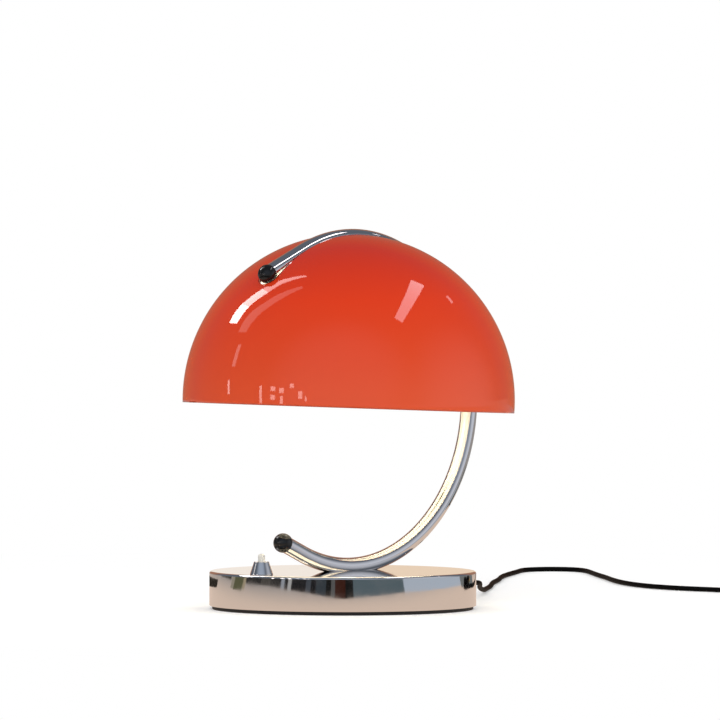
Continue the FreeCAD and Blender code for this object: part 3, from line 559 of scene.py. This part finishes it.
FINISHES = {
    "chrome": polished_chrome, "shade_red": tinted_acrylic, "ball_black": black_gloss,
    "pad_black": black_rubber, "button_ivory": ivory_button, "cast_iron": cast_iron,
    "steel": zinc_steel, "brass": turned_brass, "holder_black": holder_black,
    "ceramic": white_ceramic, "bulb_glass": opal_glass, "nylon": natural_nylon,
    "cord_black": cord_sheath, "block_white": white_ceramic,
}


def coat(made, slot):
    """Gives an object the finish of a slot, which is made once."""
    material = bpy.data.materials.get("lamp " + slot)
    if material is None:
        material = FINISHES[slot]()
        material.name = "lamp " + slot
    made.data.materials.clear()
    made.data.materials.append(material)


def dress(made, slot, *replaced):
    """Gives a piece its finish and hides the carried-over nodes it stands for."""
    coat(made, slot)
    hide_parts(*replaced)
    return made


# ---- pieces


class LAMP_OT_shade(bpy.types.Operator):
    """Moulded dome with its slot and rounded edges"""

    bl_idname = "lamp.shade"
    bl_label = "Shade"

    def execute(self, context):
        points, faces = shell(context.scene.lamp_sizes)
        piece("shade_dome", points, faces, "shade_red", "shade", "shade", merge=2e-5)
        return {"FINISHED"}


class LAMP_OT_bow(bpy.types.Operator):
    """C-shaped tube with its two straight ends"""

    bl_idname = "lamp.bow"
    bl_label = "Bent tube"

    def execute(self, context):
        sizes = context.scene.lamp_sizes
        line, heading = bow_line(sizes)
        turn = np.linspace(0, 2 * np.pi, TUBE_SIDES, endpoint=False)[:, None]
        across = np.cross(heading, (0, 1, 0))[:, None]
        ring = np.cos(turn) * across + np.sin(turn) * (0, 1, 0)
        points = line[:, None] + sizes.tube_dia / 2 * ring
        start, end = (tip[None, None].repeat(TUBE_SIDES, 1) for tip in (line[0], line[-1]))
        closed = np.concatenate([start, points, end])
        faces = grid_faces(len(closed), TUBE_SIDES, closed=True)
        sharpen(piece("bow_tube", closed, faces, "chrome", "arc_tube"))
        return {"FINISHED"}


class LAMP_OT_balls(bpy.types.Operator):
    """Black ball ends of the tube"""

    bl_idname = "lamp.balls"
    bl_label = "Ball ends"

    def execute(self, context):
        sizes = context.scene.lamp_sizes
        line, heading = bow_line(sizes)
        radius = sizes.ball_dia / 2
        seat, flat = ball_seat(sizes)
        polar = np.linspace(0, math.acos(-flat / radius), BALL_ROWS)
        ball = np.stack([radius * np.sin(polar), flat + radius * np.cos(polar)], -1)
        outline = np.concatenate([ball, [(seat - 0.0004, 0), (0, 0)]])
        ends = (("upper_knob", line[0], -heading[0], "upper_ball"),
                ("lower_knob", line[-1], heading[-1], "lower_ball"))
        for name, place, axis, node in ends:
            lathe(name, outline, "ball_black", node, at=place, axis=axis, segments=72)
        return {"FINISHED"}


class LAMP_OT_base(bpy.types.Operator):
    """Chromed drum of the base and the pad under it"""

    bl_idname = "lamp.base"
    bl_label = "Base"

    def execute(self, context):
        sizes = context.scene.lamp_sizes
        wide, wall = sizes.base_dia / 2, 1.2 * MM
        low, high = COVER_LOW[2], COVER_HIGH[2]
        outline = rounded([
            (0, high, 0), (wide, high, sizes.cover_round), (wide, low, 0.0005), (wide - wall, low, 0.0003),
            (wide - wall, high - wall, 0.001), (0, high - wall, 0)], 10)
        lathe("base_drum", spaced(outline, 0.006), "chrome", "base_cover", segments=256)
        (_, _, low), (pad, _, high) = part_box("foot_pad")
        outline = rounded([(0, low, 0), (pad, low, 0.0008), (pad, high, 0.0004), (0, high, 0)])
        lathe("base_pad", spaced(outline, 0.02), "pad_black", "foot_pad", segments=192)
        return {"FINISHED"}


class LAMP_OT_switch(bpy.types.Operator):
    """Conical switch collar and the button in it"""

    bl_idname = "lamp.switch"
    bl_label = "Switch"

    def execute(self, context):
        self.collar()
        self.button()
        return {"FINISHED"}

    def collar(self):
        """A cone with a hole for the button and a wider bore under it."""
        low, high = SWITCH_LOW[2], SWITCH_HIGH[2]
        foot, top = (SWITCH_HIGH[0] - SWITCH_LOW[0]) / 2, 6.6 * MM
        hole, bore, shoulder = 3.3 * MM, 5.1 * MM, high - 5 * MM
        outline = rounded([
            (bore, low, 0), (foot, low, 0.0003), (top, high, 0.0006), (hole, high, 0.0004),
            (hole, shoulder, 0), (bore, shoulder, 0), (bore, low, 0)])
        lathe("switch_cone", outline, "chrome", "switch_collar", at=SWITCH_PLACE)

    def button(self):
        """A domed stem with a flange that the collar holds, and a thin tail."""
        bottom, crown = BUTTON_LOW[2], BUTTON_HIGH[2]
        tail, stem = 2 * MM, 3.15 * MM
        edge = (BUTTON_HIGH[0] - BUTTON_LOW[0]) / 2
        flange = SWITCH_HIGH[2] - 5.2 * MM
        under = flange - 2 * MM
        outline = rounded([
            (0, bottom, 0), (tail, bottom, 0.0003), (tail, under, 0), (edge, under, 0.0002),
            (edge, flange, 0.0002), (stem, flange, 0), (stem, crown, 0.0022), (0, crown, 0)], 8)
        lathe("switch_cap", outline, "button_ivory", "switch_button", "button", SWITCH_PLACE, segments=64)


class LAMP_OT_holder(bpy.types.Operator):
    """Lampholder and bulb under the crown"""

    bl_idname = "lamp.holder"
    bl_label = "Lampholder and bulb"

    def execute(self, context):
        centre = (*ARC_CENTRE[:2], 0)
        lathe("holder_skirt", self.skirt(), "holder_black", "holder_sleeve", at=centre)
        lathe("holder_hood", self.hood(), "holder_black", "holder_cap", at=centre)
        lathe("bulb_globe", self.globe(), "bulb_glass", "bulb_glass", at=centre)
        return {"FINISHED"}

    def skirt(self):
        """The sleeve's outline: a tube with a lip round its mouth."""
        low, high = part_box("holder_sleeve")
        mouth, outer, lip = 14.3 * MM, (high[0] - low[0]) / 2, low[2] + 3.2 * MM
        body = outer - 0.0006
        return rounded([
            (mouth, high[2], 0), (mouth, low[2], 0.0006), (outer, low[2], 0.0006), (outer, lip, 0.0003),
            (body, lip, 0.0002), (body, high[2], 0), (mouth, high[2], 0)], 4)

    def hood(self):
        """The cap's outline: a cup with a thick rim, a sloping crown and a hole for its nipple."""
        low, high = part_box("holder_cap")
        rim = (high[0] - low[0]) / 2
        body, inner, hole = rim - 0.0005, rim - 2 * MM, 5.1 * MM
        ceiling = high[2] - 2 * MM
        return rounded([
            (inner, low[2], 0), (rim, low[2], 0.0005), (rim, low[2] + 2 * MM, 0.0003),
            (body, low[2] + 2.4 * MM, 0.0003), (body, high[2] - 5 * MM, 0.003),
            (rim - 6 * MM, high[2], 0.001), (hole, high[2], 0), (hole, ceiling, 0),
            (rim - 5 * MM, ceiling, 0.001), (inner, high[2] - 6 * MM, 0.001), (inner, low[2], 0)], 5)

    def globe(self):
        """The glass's outline: a ball whose wall runs up into the neck by the curve 3t^2 - 2t^3."""
        low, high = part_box("bulb_glass")
        radius, neck, wall = (high[0] - low[0]) / 2, 12.5 * MM, 1 * MM
        shoulder, straight = math.radians(34), 9 * MM
        polar = np.linspace(-np.pi / 2, shoulder, 60)
        ball = np.stack([radius * np.cos(polar), low[2] + radius + radius * np.sin(polar)], -1)
        share = np.linspace(0, 1, 24)[1:, None]
        rise = np.array([0, high[2] - straight - ball[-1, 1]])
        inwards = np.array([neck - ball[-1, 0], 0])
        flare = ball[-1] + rise * share + inwards * share ** 2 * (3 - 2 * share)
        outside = np.concatenate([ball, flare, [(neck, high[2])]])
        inside = np.maximum(outside - (wall, 0), (0, low[2] + wall))
        return np.concatenate([outside, inside[::-1]])


def coil_turns(sizes):
    """The coil's control points: two turns in along the table, a short climb, and out again on top.

    A turn's radius falls or grows by one cord diameter (and a little air) per turn. The points of a
    quadratic spline lie outside its line, so the radius is divided by the line's share of it."""
    lane = sizes.cord_dia * 1.01
    per_turn = 20
    inward, climb, outward = 2.05, 0.2, 1.3
    turns = np.arange(0, inward + climb + outward, 1 / per_turn)
    falling = sizes.coil_dia / 2 - lane + lane * np.clip(inward - turns, 0, None)
    growing = lane * np.clip(turns - inward - climb, 0, None)
    level = CORD_LEVEL + lane * np.clip((turns - inward) / climb, 0, 1)
    angles = 2 * np.pi * (turns - inward - climb - outward)
    radius = (falling + growing) / (0.75 + 0.25 * math.cos(2 * math.pi / per_turn))
    return [(COIL_CENTRE[0] + reach * math.cos(turn), COIL_CENTRE[1] + reach * math.sin(turn), height)
            for reach, turn, height in zip(radius, angles, level)]


class LAMP_OT_cord(bpy.types.Operator):
    """Mains cord: its free run, its coil, its strain relief and its plug"""

    bl_idname = "lamp.cord"
    bl_label = "Mains cord"

    def execute(self, context):
        sizes = context.scene.lamp_sizes
        exit_point = (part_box("cord")[0][0] + 0.0002, 0.0, CORD_EXIT_LEVEL)
        plug_x, _, plug_z = (PLUG_LOW + PLUG_HIGH) / 2
        end = (plug_x, PLUG_LOW[1] + 0.002, plug_z)
        before = (plug_x, PLUG_LOW[1] - 0.010, plug_z)
        laid = [(x, y, CORD_LEVEL) for x, y in CORD_ON_TABLE]
        points = [exit_point] + CORD_DESCENT + laid + coil_turns(sizes) + [before, end]
        made = self.line(points, sizes.cord_dia / 2)
        plug = self.plug(plug_x, plug_z)
        self.run_length(points)
        self.relief()
        return {"FINISHED"}

    def line(self, points, radius):
        """The cord as a quadratic spline with a round section."""
        curve = bpy.data.curves.new("cord_line", "CURVE")
        curve.dimensions = "3D"
        curve.bevel_depth = 1.0
        curve.bevel_resolution = 5
        curve.resolution_u = 8
        curve.use_fill_caps = True
        spline = curve.splines.new("NURBS")
        spline.points.add(len(points) - 1)
        spline.points.foreach_set("co", np.array([(*p, 1.0) for p in points]).ravel())
        spline.points.foreach_set("radius", np.full(len(points), radius))
        spline.order_u = 3
        spline.use_endpoint_u = True
        made = placed("cord_line", curve)
        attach(made, "lamp")
        return dress(made, "cord_black", "cord", "cord_coil")

    def run_length(self, points):
        """The length of a quadratic spline: the summed steps of its three-point blends."""
        line = np.array(points)
        share = np.linspace(0, 1, 9)[:, None, None]
        one, two, three = line[:-2], line[1:-1], line[2:]
        path = (1 - share) ** 2 / 2 * one + (0.5 + share - share ** 2) * two + share ** 2 / 2 * three
        path = path.transpose(1, 0, 2).reshape(-1, 3)
        ends = 0.006
        return float(np.linalg.norm(np.diff(path, axis=0), axis=1).sum() + ends)

    def relief(self):
        """Tapered sleeve with rings where the cord leaves the base."""
        low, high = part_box("cord_gland")
        wall, tip = COVER_HIGH[0], high[0]
        flange = wall + 2 * MM
        bore, thread, lip = 2.4 * MM, 4.4 * MM, 7 * MM
        thick, thin, rings, ring_height = 4.5, 3.3, 7, 0.00022
        along = np.linspace(0, 1, 90)
        reach = flange + (tip - 0.0006 - flange) * along
        taper = (thick + (thin - thick) * along) * MM
        ridge = ring_height * np.clip(np.cos(along * 2 * np.pi * rings), -0.4, 1)
        ridge = ridge * (along > 0.06) * (along < 0.96)
        outline = np.concatenate([
            [(bore, low[0]), (thread, low[0]), (thread, wall), (6.6 * MM, wall), (lip, wall + 0.0004),
             (lip, flange - 0.0005), (6.5 * MM, flange)],
            np.stack([taper + ridge, reach], -1), [(2.9 * MM, tip), (bore, tip), (bore, low[0])]])
        middle = (0, 0, (low[2] + high[2]) / 2)
        made = lathe("strain_relief", outline, "cord_black", "cord_gland", "lamp", middle, (1, 0, 0), 64)
        sharpen(made, 50)

    def plug(self, x, z):
        """Plug body: rounded flat sections that widen from the cord's ringed collar to the pins' face.

        A section is a superellipse whose half width, half height and squareness ease along it."""
        begin, finish = PLUG_LOW[1], PLUG_HIGH[1]
        wide, _, thick = (PLUG_HIGH - PLUG_LOW) / 2
        collar, shoulder, rings, ring_height = 0.26, 0.34, 16, 0.0003
        along = np.linspace(0, 1, PLUG_SECTIONS)
        ease = np.clip((along - collar) / shoulder, 0, 1)
        ease = ease ** 2 * (3 - 2 * ease)
        close = np.sqrt(np.clip(1 - (np.clip(along - 0.95, 0, 1) / 0.05) ** 2 * 0.35, 0, 1))
        neck = (4.0 + 1.4 * along) * MM
        ring = ring_height * np.cos(along * 2 * np.pi * rings) * (along < collar)
        round_half = (neck + ring) * (1 - ease)
        half_wide = (round_half + wide * ease) * close
        half_high = (round_half + thick * ease) * close
        square = 2.0 + 2.4 * ease
        turn = np.linspace(0, 2 * np.pi, PLUG_SIDES, endpoint=False)
        cos, sin = np.cos(turn), np.sin(turn)
        power = 2 / square[:, None]
        across = np.sign(cos) * np.abs(cos) ** power * half_wide[:, None]
        rise = np.sign(sin) * np.abs(sin) ** power * half_high[:, None]
        level = (begin + (finish - begin) * along)[:, None] + np.zeros_like(across)
        points = np.stack([x + across, level, z + rise], -1)
        ends = [points[:1] * 0 + (x, begin, z), points, points[:1] * 0 + (x, finish, z)]
        faces = grid_faces(PLUG_SECTIONS + 2, PLUG_SIDES, closed=True)
        made = piece("plug_shell", np.concatenate(ends), faces, "cord_black", "plug_body")
        sharpen(made, 50)
        return made


class LAMP_OT_finishes(bpy.types.Operator):
    """Gives every carried-over solid its own finish"""

    bl_idname = "lamp.finishes"
    bl_label = "Finishes"

    def execute(self, context):
        slots = {part["node"]: part["material_slot"] for part in frame["record"]["subparts"]}
        for name, made in frame["nodes"].items():
            coat(made, slots[name])
        return {"FINISHED"}


# ---- stage


# the camera: its side of the lamp as a unit direction, its distance, height, aim, lens in mm and roll
CAMERA_BACK = (-0.6874, -0.7263)
CAMERA_DISTANCE = 10.062
CAMERA_HEIGHT = 0.5175
CAMERA_PLACE = np.array([*CAMERA_BACK, 0]) * CAMERA_DISTANCE + (0, 0, CAMERA_HEIGHT)
CAMERA_AIM = (0.01105, -0.01046, 0.22395)
CAMERA_LENS = 560.0
CAMERA_ROLL = math.radians(0.07)
# the floor: half its width, the middle of its lit part, where that part fades out, and its lift
FLOOR_HALF = 9.0
FLOOR_MIDDLE = (0.15, 0.05, 0)
FLOOR_FADE = (0.25, 0.95)
FLOOR_LIFT = 0.25
# what the world gives as a light, and what mirrors see of the room and of the floor near and far
WHITE = (1, 1, 1)
WORLD_FILL = 0.78
ROOM_TONE = (0.12, 0.14, 0.175)
ROOM_FLOOR = (0.34, 0.32, 0.31)
TABLE_TONE = (0.74, 0.58, 0.48)
# broad square lamps: name, place, width and power; they point at a place over the base. Another one lies
# inside the shade, under the middle of the arc
LAMP_AIM = (0, 0, 0.15)
LAMPS = [
    ("key", (-2.2, -1.6, 2.2), 1.6, 16), ("fill", (0.9, -2.6, 1.3), 1.6, 9),
    ("top", (0.4, 0.6, 2.6), 2.2, 8),
]
INSIDE_POWER = 0.5
INSIDE_WIDTH = 0.10
INSIDE_DROP = 0.02
INSIDE_TONE = (1.0, 0.90, 0.70)
# fields on the floor, seen in polished faces alone: bearings from the camera's side in degrees, how far
# from the base's middle they begin at either bearing, where they end, and their tone
FIELD_COLUMNS = 5
CARD_LIFT = 0.001
TABLE_FIELDS = [
    (-170, -127, 0.41, 0.46, 0.62, (0.03, 0.025, 0.02)),
    (-122, -104, 0.70, 0.66, 0.90, (0.03, 0.028, 0.02)),
    (-103, -99, 0.50, 0.50, 0.90, (0.30, 0.27, 0.21)),
    (-99, -88, 0.48, 0.48, 0.90, (0.11, 0.11, 0.06)),
    (-88, -85, 0.50, 0.50, 0.90, (0.36, 0.30, 0.20)),
    (-85, -69, 0.62, 0.61, 0.90, (0.015, 0.015, 0.015)),
    (-69, -60, 0.61, 0.60, 0.90, (0.06, 0.055, 0.05)),
    (-60, -50, 0.60, 0.57, 0.90, (0.02, 0.02, 0.02)),
    (-50, -47, 0.57, 0.56, 0.90, (0.30, 0.33, 0.38)),
    (-47, -44, 0.56, 0.55, 0.90, (0.02, 0.02, 0.02)),
    (-44, -41, 0.55, 0.54, 0.90, (0.40, 0.40, 0.40)),
    (-41, -29, 0.54, 0.50, 0.90, (0.012, 0.012, 0.014)),
    (-29, -25, 0.50, 0.49, 0.90, (0.060, 0.070, 0.085)),
    (-25, -21, 0.49, 0.47, 0.90, (0.010, 0.010, 0.012)),
    (-21, -13, 0.47, 0.44, 0.90, (0.040, 0.050, 0.060)),
    (-13, -9, 0.44, 0.43, 0.90, (0.012, 0.012, 0.012)),
    (-9, -6, 0.43, 0.41, 0.90, (0.10, 0.10, 0.10)),
    (-6, 2, 0.41, 0.40, 0.90, (0.045, 0.014, 0.009)),
    (2, 8, 0.40, 0.42, 0.90, (0.010, 0.010, 0.010)),
    (8, 49, 0.42, 0.50, 0.90, (0.095, 0.130, 0.150)),
    (49, 113, 0.50, 0.54, 0.90, (0.44, 0.50, 0.59)),
    (113, 140, 0.50, 0.46, 0.90, (0.17, 0.18, 0.18)),
]
# highlights on the shade: tone, strength and how far off their panes stand, then the two long sides of
# each, as places on the shade that the camera sees, in shares of its radius right of and above its middle
HIGHLIGHTS = [
    ("streak_low", (1.0, 0.96, 0.94), 16.0, 1.6,
     [[(-0.713, 0.459), (-0.679, 0.523), (-0.639, 0.570)],
      [(-0.668, 0.454), (-0.633, 0.510), (-0.595, 0.556)]]),
    ("streak_middle", (1.0, 0.94, 0.93), 10.0, 1.6,
     [[(-0.639, 0.570), (-0.580, 0.618), (-0.516, 0.662)],
      [(-0.595, 0.556), (-0.539, 0.602), (-0.480, 0.641)]]),
    ("streak_high", (1.0, 0.92, 0.90), 5.0, 1.6,
     [[(-0.516, 0.662), (-0.420, 0.709), (-0.341, 0.731), (-0.257, 0.743)],
      [(-0.480, 0.641), (-0.396, 0.693), (-0.327, 0.717), (-0.249, 0.735)]]),
    ("streak_faint", (1.0, 0.95, 0.92), 1.4, 1.6,
     [[(-0.658, 0.402), (-0.628, 0.466), (-0.583, 0.522), (-0.509, 0.575), (-0.420, 0.629),
       (-0.281, 0.677)],
      [(-0.612, 0.402), (-0.574, 0.462), (-0.527, 0.514), (-0.463, 0.561), (-0.388, 0.609),
       (-0.273, 0.665)]]),
    ("streak_thin", (1.0, 0.95, 0.95), 2.2, 1.6,
     [[(-0.697, 0.198), (-0.681, 0.257), (-0.657, 0.327)],
      [(-0.677, 0.198), (-0.661, 0.257), (-0.639, 0.333)]]),
    ("window", (1.0, 0.95, 1.0), 4.5, 1.8,
     [[(0.371, 0.716), (0.450, 0.683)], [(0.271, 0.486), (0.318, 0.460)]]),
    ("glint", (1.0, 0.95, 1.0), 2.5, 1.8,
     [[(0.580, 0.619), (0.590, 0.626)], [(0.614, 0.576), (0.624, 0.584)]]),
]
# small sparks low on the shade, in the same shares: across, above, width and height
SPARK_TONE = (1.0, 0.93, 0.90)
SPARK_STRENGTH = 6.0
SPARK_REACH = 1.6
SPARKS = [
    (-0.714, 0.076, 0.011, 0.085), (-0.522, 0.032, 0.014, 0.105), (-0.450, 0.066, 0.027, 0.026),
    (-0.451, 0.016, 0.026, 0.029), (-0.399, 0.056, 0.027, 0.029), (-0.399, -0.004, 0.017, 0.054),
    (-0.337, 0.084, 0.024, 0.026), (-0.287, 0.030, 0.024, 0.045), (-0.255, 0.007, 0.010, 0.026),
]
# bright strips behind the lamp, which its base's top mirrors: tone, and where they start and end
HORIZON_HEIGHT = 0.32
HORIZON = [
    ("horizon_left", (0.92, 0.84, 0.76), (1.50, 2.20), (1.787, 1.888)),
    ("horizon_right", (0.84, 0.66, 0.50), (1.787, 1.888), (2.10, 1.60)),
]
# glowing clouds round the lamp, seen in polished faces alone: tone, bearing off the camera's side,
# distance, height, and how far from its middle each is whole and gone
CLOUDS = [
    ("front_sky", (0.36, 0.42, 0.53), -5, 3.0, 1.0, 0.4, 5.5),
    ("right_wall", (0.60, 0.63, 0.72), 80, 3.2, 0.1, 0.0, 3.6),
    ("behind", (0.38, 0.19, 0.125), 180, 3.6, 0.5, 1.6, 4.2),
]


def table_point(turn, reach):
    """A point just over the floor from its bearing off the camera's side and its distance."""
    bearing = math.atan2(CAMERA_BACK[1], CAMERA_BACK[0]) + turn
    return np.array([math.cos(bearing) * reach, math.sin(bearing) * reach, CARD_LIFT])


def mirrored(across, above, reach):
    """A point off a place on the shade, along the camera's ray mirrored there: r = d - 2 (d . n) n."""
    sizes = bpy.context.scene.lamp_sizes
    middle, radius = shade_frame(sizes)[0], sizes.shade_dia / 2
    back = unit(CAMERA_PLACE - middle)
    right = unit(np.cross((0, 0, 1), back))
    normal = right * across + np.cross(back, right) * above + back * math.sqrt(1 - across ** 2 - above ** 2)
    place = middle + normal * radius
    ray = unit(place - CAMERA_PLACE)
    return place + (ray - 2 * (ray @ normal) * normal) * reach


class LAMP_OT_stage(bpy.types.Operator):
    """Floor, lights, reflecting cards and camera"""

    bl_idname = "lamp.stage"
    bl_label = "Stage"

    def execute(self, context):
        scene = context.scene
        scene.view_settings.view_transform = "Standard"
        self.world(scene)
        self.floor(scene.lamp_colours.floor)
        self.lights()
        self.cards()
        self.camera(scene)
        return {"FINISHED"}

    def world(self, scene):
        """White to the camera and through glass, slate in mirrors, and soft as a light."""
        scene.world = bpy.data.worlds.new("studio")
        tree = Tree(scene.world)
        path = tree.add("ShaderNodeLightPath").node.outputs
        light = tree.add("ShaderNodeBackground", {"Color": (*WHITE, 1), "Strength": WORLD_FILL})
        for ray, tone in (("Camera", WHITE), ("Transmission", WHITE), ("Glossy", ROOM_TONE)):
            seen = tree.add("ShaderNodeBackground", {"Color": (*tone, 1)})
            light = tree.mix(path["Is %s Ray" % ray], light, seen)
        tree.show(light)

    def sheet(self, name, rows):
        """A mesh of the stage from rows of points, and the node tree of its own material."""
        mesh = bpy.data.meshes.new(name)
        mesh.from_pydata(np.array(rows, float).reshape(-1, 3), [], grid_faces(len(rows), len(rows[0])))
        mesh.materials.append(bpy.data.materials.new(name))
        made = placed(name, mesh)
        return made, Tree(mesh.materials[0])

    def floor(self, colour):
        """A pale floor: lit and shaded near the lamp, plain white further off, warm in mirrors."""
        rows = [[(x, y, 0) for x in (-FLOOR_HALF, FLOOR_HALF)] for y in (-FLOOR_HALF, FLOOR_HALF)]
        tree = self.sheet("floor", rows)[1]
        shader = tree.nodes["Principled BSDF"]
        for name, value in (("Base Color", (*colour, 1)), ("Roughness", 1.0), ("Specular IOR Level", 0.0)):
            shader.inputs[name].default_value = value
        lit = shader.outputs[0]
        path = tree.add("ShaderNodeLightPath").node.outputs
        away = tree.beyond(FLOOR_MIDDLE, *FLOOR_FADE, interpolation_type="SMOOTHERSTEP")
        lifted = tree.add("ShaderNodeAddShader", {0: lit, 1: tree.glow(WHITE, FLOOR_LIFT)})
        near = tree.mix(path["Is Camera Ray"], lit, lifted)
        far = tree.add("ShaderNodeMath", {0: away, 1: path["Is Camera Ray"]}, operation="MULTIPLY")
        shown = tree.mix(far, near, tree.glow(WHITE))
        in_mirrors = tree.mix(away, tree.glow(TABLE_TONE), tree.glow(ROOM_FLOOR))
        tree.show(tree.mix(path["Is Glossy Ray"], shown, in_mirrors))

    def light(self, name, shape, width, power, place, turn):
        """An area light that mirrors don't show."""
        data = bpy.data.lights.new(name, "AREA")
        data.shape = shape
        data.size = width
        data.energy = power
        made = placed(name, data)
        made.location = place
        made.rotation_euler = turn
        made.visible_glossy = False
        return made

    def lights(self):
        """Soft lamps: a key high at the left, a fill at the right, one from above, and a small one that
        shines up under the bulb and brightens the shade's inner face."""
        for name, place, width, power in LAMPS:
            turn = (Vector(LAMP_AIM) - Vector(place)).to_track_quat("-Z", "Y").to_euler()
            self.light(name, "SQUARE", width, power, place, turn)
        place = (ARC_CENTRE[0], 0, ARC_CENTRE[2] - INSIDE_DROP)
        made = self.light("inside", "DISK", INSIDE_WIDTH, INSIDE_POWER, place, (math.pi, 0, 0))
        made.data.color = INSIDE_TONE
        made.visible_camera = False

    def cards(self):
        """What the polished faces show: fields beyond the table, bright panes, strips and clouds."""
        for count, (low, high, near_low, near_high, far, tone) in enumerate(TABLE_FIELDS):
            turns = np.radians(np.linspace(low, high, FIELD_COLUMNS))
            edges = [np.linspace(*ends, FIELD_COLUMNS) for ends in ((near_low, near_high), (far, far))]
            rows = [[table_point(turn, reach) for turn, reach in zip(turns, edge)] for edge in edges]
            self.card("field_%02d" % count, rows, tone)
        for name, tone, strength, reach, sides in HIGHLIGHTS:
            self.card(name, [[mirrored(*place, reach) for place in side] for side in sides], tone, strength)
        for count, (across, above, wide, high) in enumerate(SPARKS):
            rows = [[mirrored(across + x * wide, above + z * high, SPARK_REACH) for x in (-0.5, 0.5)]
                    for z in (0.5, -0.5)]
            self.card("spark_%d" % count, rows, SPARK_TONE, SPARK_STRENGTH)
        for name, tone, left, right in HORIZON:
            self.card(name, [[(*left, z), (*right, z)] for z in (0, HORIZON_HEIGHT)], tone)
        for name, tone, turn, reach, level, full, gone in CLOUDS:
            centre = table_point(math.radians(turn), reach) + (0, 0, level)
            side = np.array([-centre[1], centre[0], 0]) / reach * gone
            rows = [[centre - side + (0, 0, z), centre + side + (0, 0, z)] for z in (-gone, gone)]
            self.card(name, rows, tone, fade=(centre, full, gone))

    def card(self, name, rows, tone, strength=1.0, fade=None):
        """A glowing card that shows in polished faces alone, and may fade out about a centre."""
        made, tree = self.sheet(name, rows)
        shader = tree.glow(tone, strength)
        if fade:
            clear = tree.add("ShaderNodeBsdfTransparent")
            shader = tree.mix(tree.beyond(*fade, interpolation_type="SMOOTHERSTEP"), shader, clear)
        tree.show(shader)
        for ray in ("camera", "diffuse", "transmission", "shadow", "volume_scatter"):
            setattr(made, "visible_" + ray, False)

    def camera(self, scene):
        """A very long lens far off the lamp, slightly above its shade."""
        data = bpy.data.cameras.new("camera")
        data.lens = CAMERA_LENS
        data.sensor_width = 36.0
        data.clip_end = 60.0
        made = placed("camera", data)
        place = Vector(CAMERA_PLACE)
        look = (Vector(CAMERA_AIM) - place).to_track_quat("-Z", "Y").to_matrix()
        turned = (look @ Matrix.Rotation(CAMERA_ROLL, 3, "Z")).to_4x4()
        made.matrix_world = Matrix.Translation(place) @ turned
        scene.camera = made


class LAMP_PT_panel(bpy.types.Panel):
    """Lists the lamp's pieces, sizes and colours"""

    bl_label = "Table Lamp"
    bl_idname = "LAMP_PT_panel"
    bl_space_type = "VIEW_3D"
    bl_region_type = "UI"
    bl_category = "Table Lamp"

    def draw(self, context):
        for operator in OPERATORS:
            self.layout.operator(operator.bl_idname)
        for held in (context.scene.lamp_sizes, context.scene.lamp_colours):
            column = self.layout.column()
            for name in held.__annotations__:
                column.prop(held, name)


OPERATORS = (LAMP_OT_finishes, LAMP_OT_shade, LAMP_OT_bow, LAMP_OT_balls, LAMP_OT_base, LAMP_OT_switch,
             LAMP_OT_holder, LAMP_OT_cord, LAMP_OT_stage)
CLASSES = (LampSizes, LampColours, *OPERATORS, LAMP_PT_panel)


def register():
    for made in CLASSES:
        bpy.utils.register_class(made)
    bpy.types.Scene.lamp_sizes = bpy.props.PointerProperty(type=LampSizes)
    bpy.types.Scene.lamp_colours = bpy.props.PointerProperty(type=LampColours)


def unregister():
    del bpy.types.Scene.lamp_sizes
    del bpy.types.Scene.lamp_colours
    for made in reversed(CLASSES):
        bpy.utils.unregister_class(made)


def main():
    register()
    for operator in OPERATORS:
        getattr(bpy.ops.lamp, operator.bl_idname.removeprefix("lamp."))()
    bpy.context.view_layer.update()


if __name__ == "__main__":
    main()
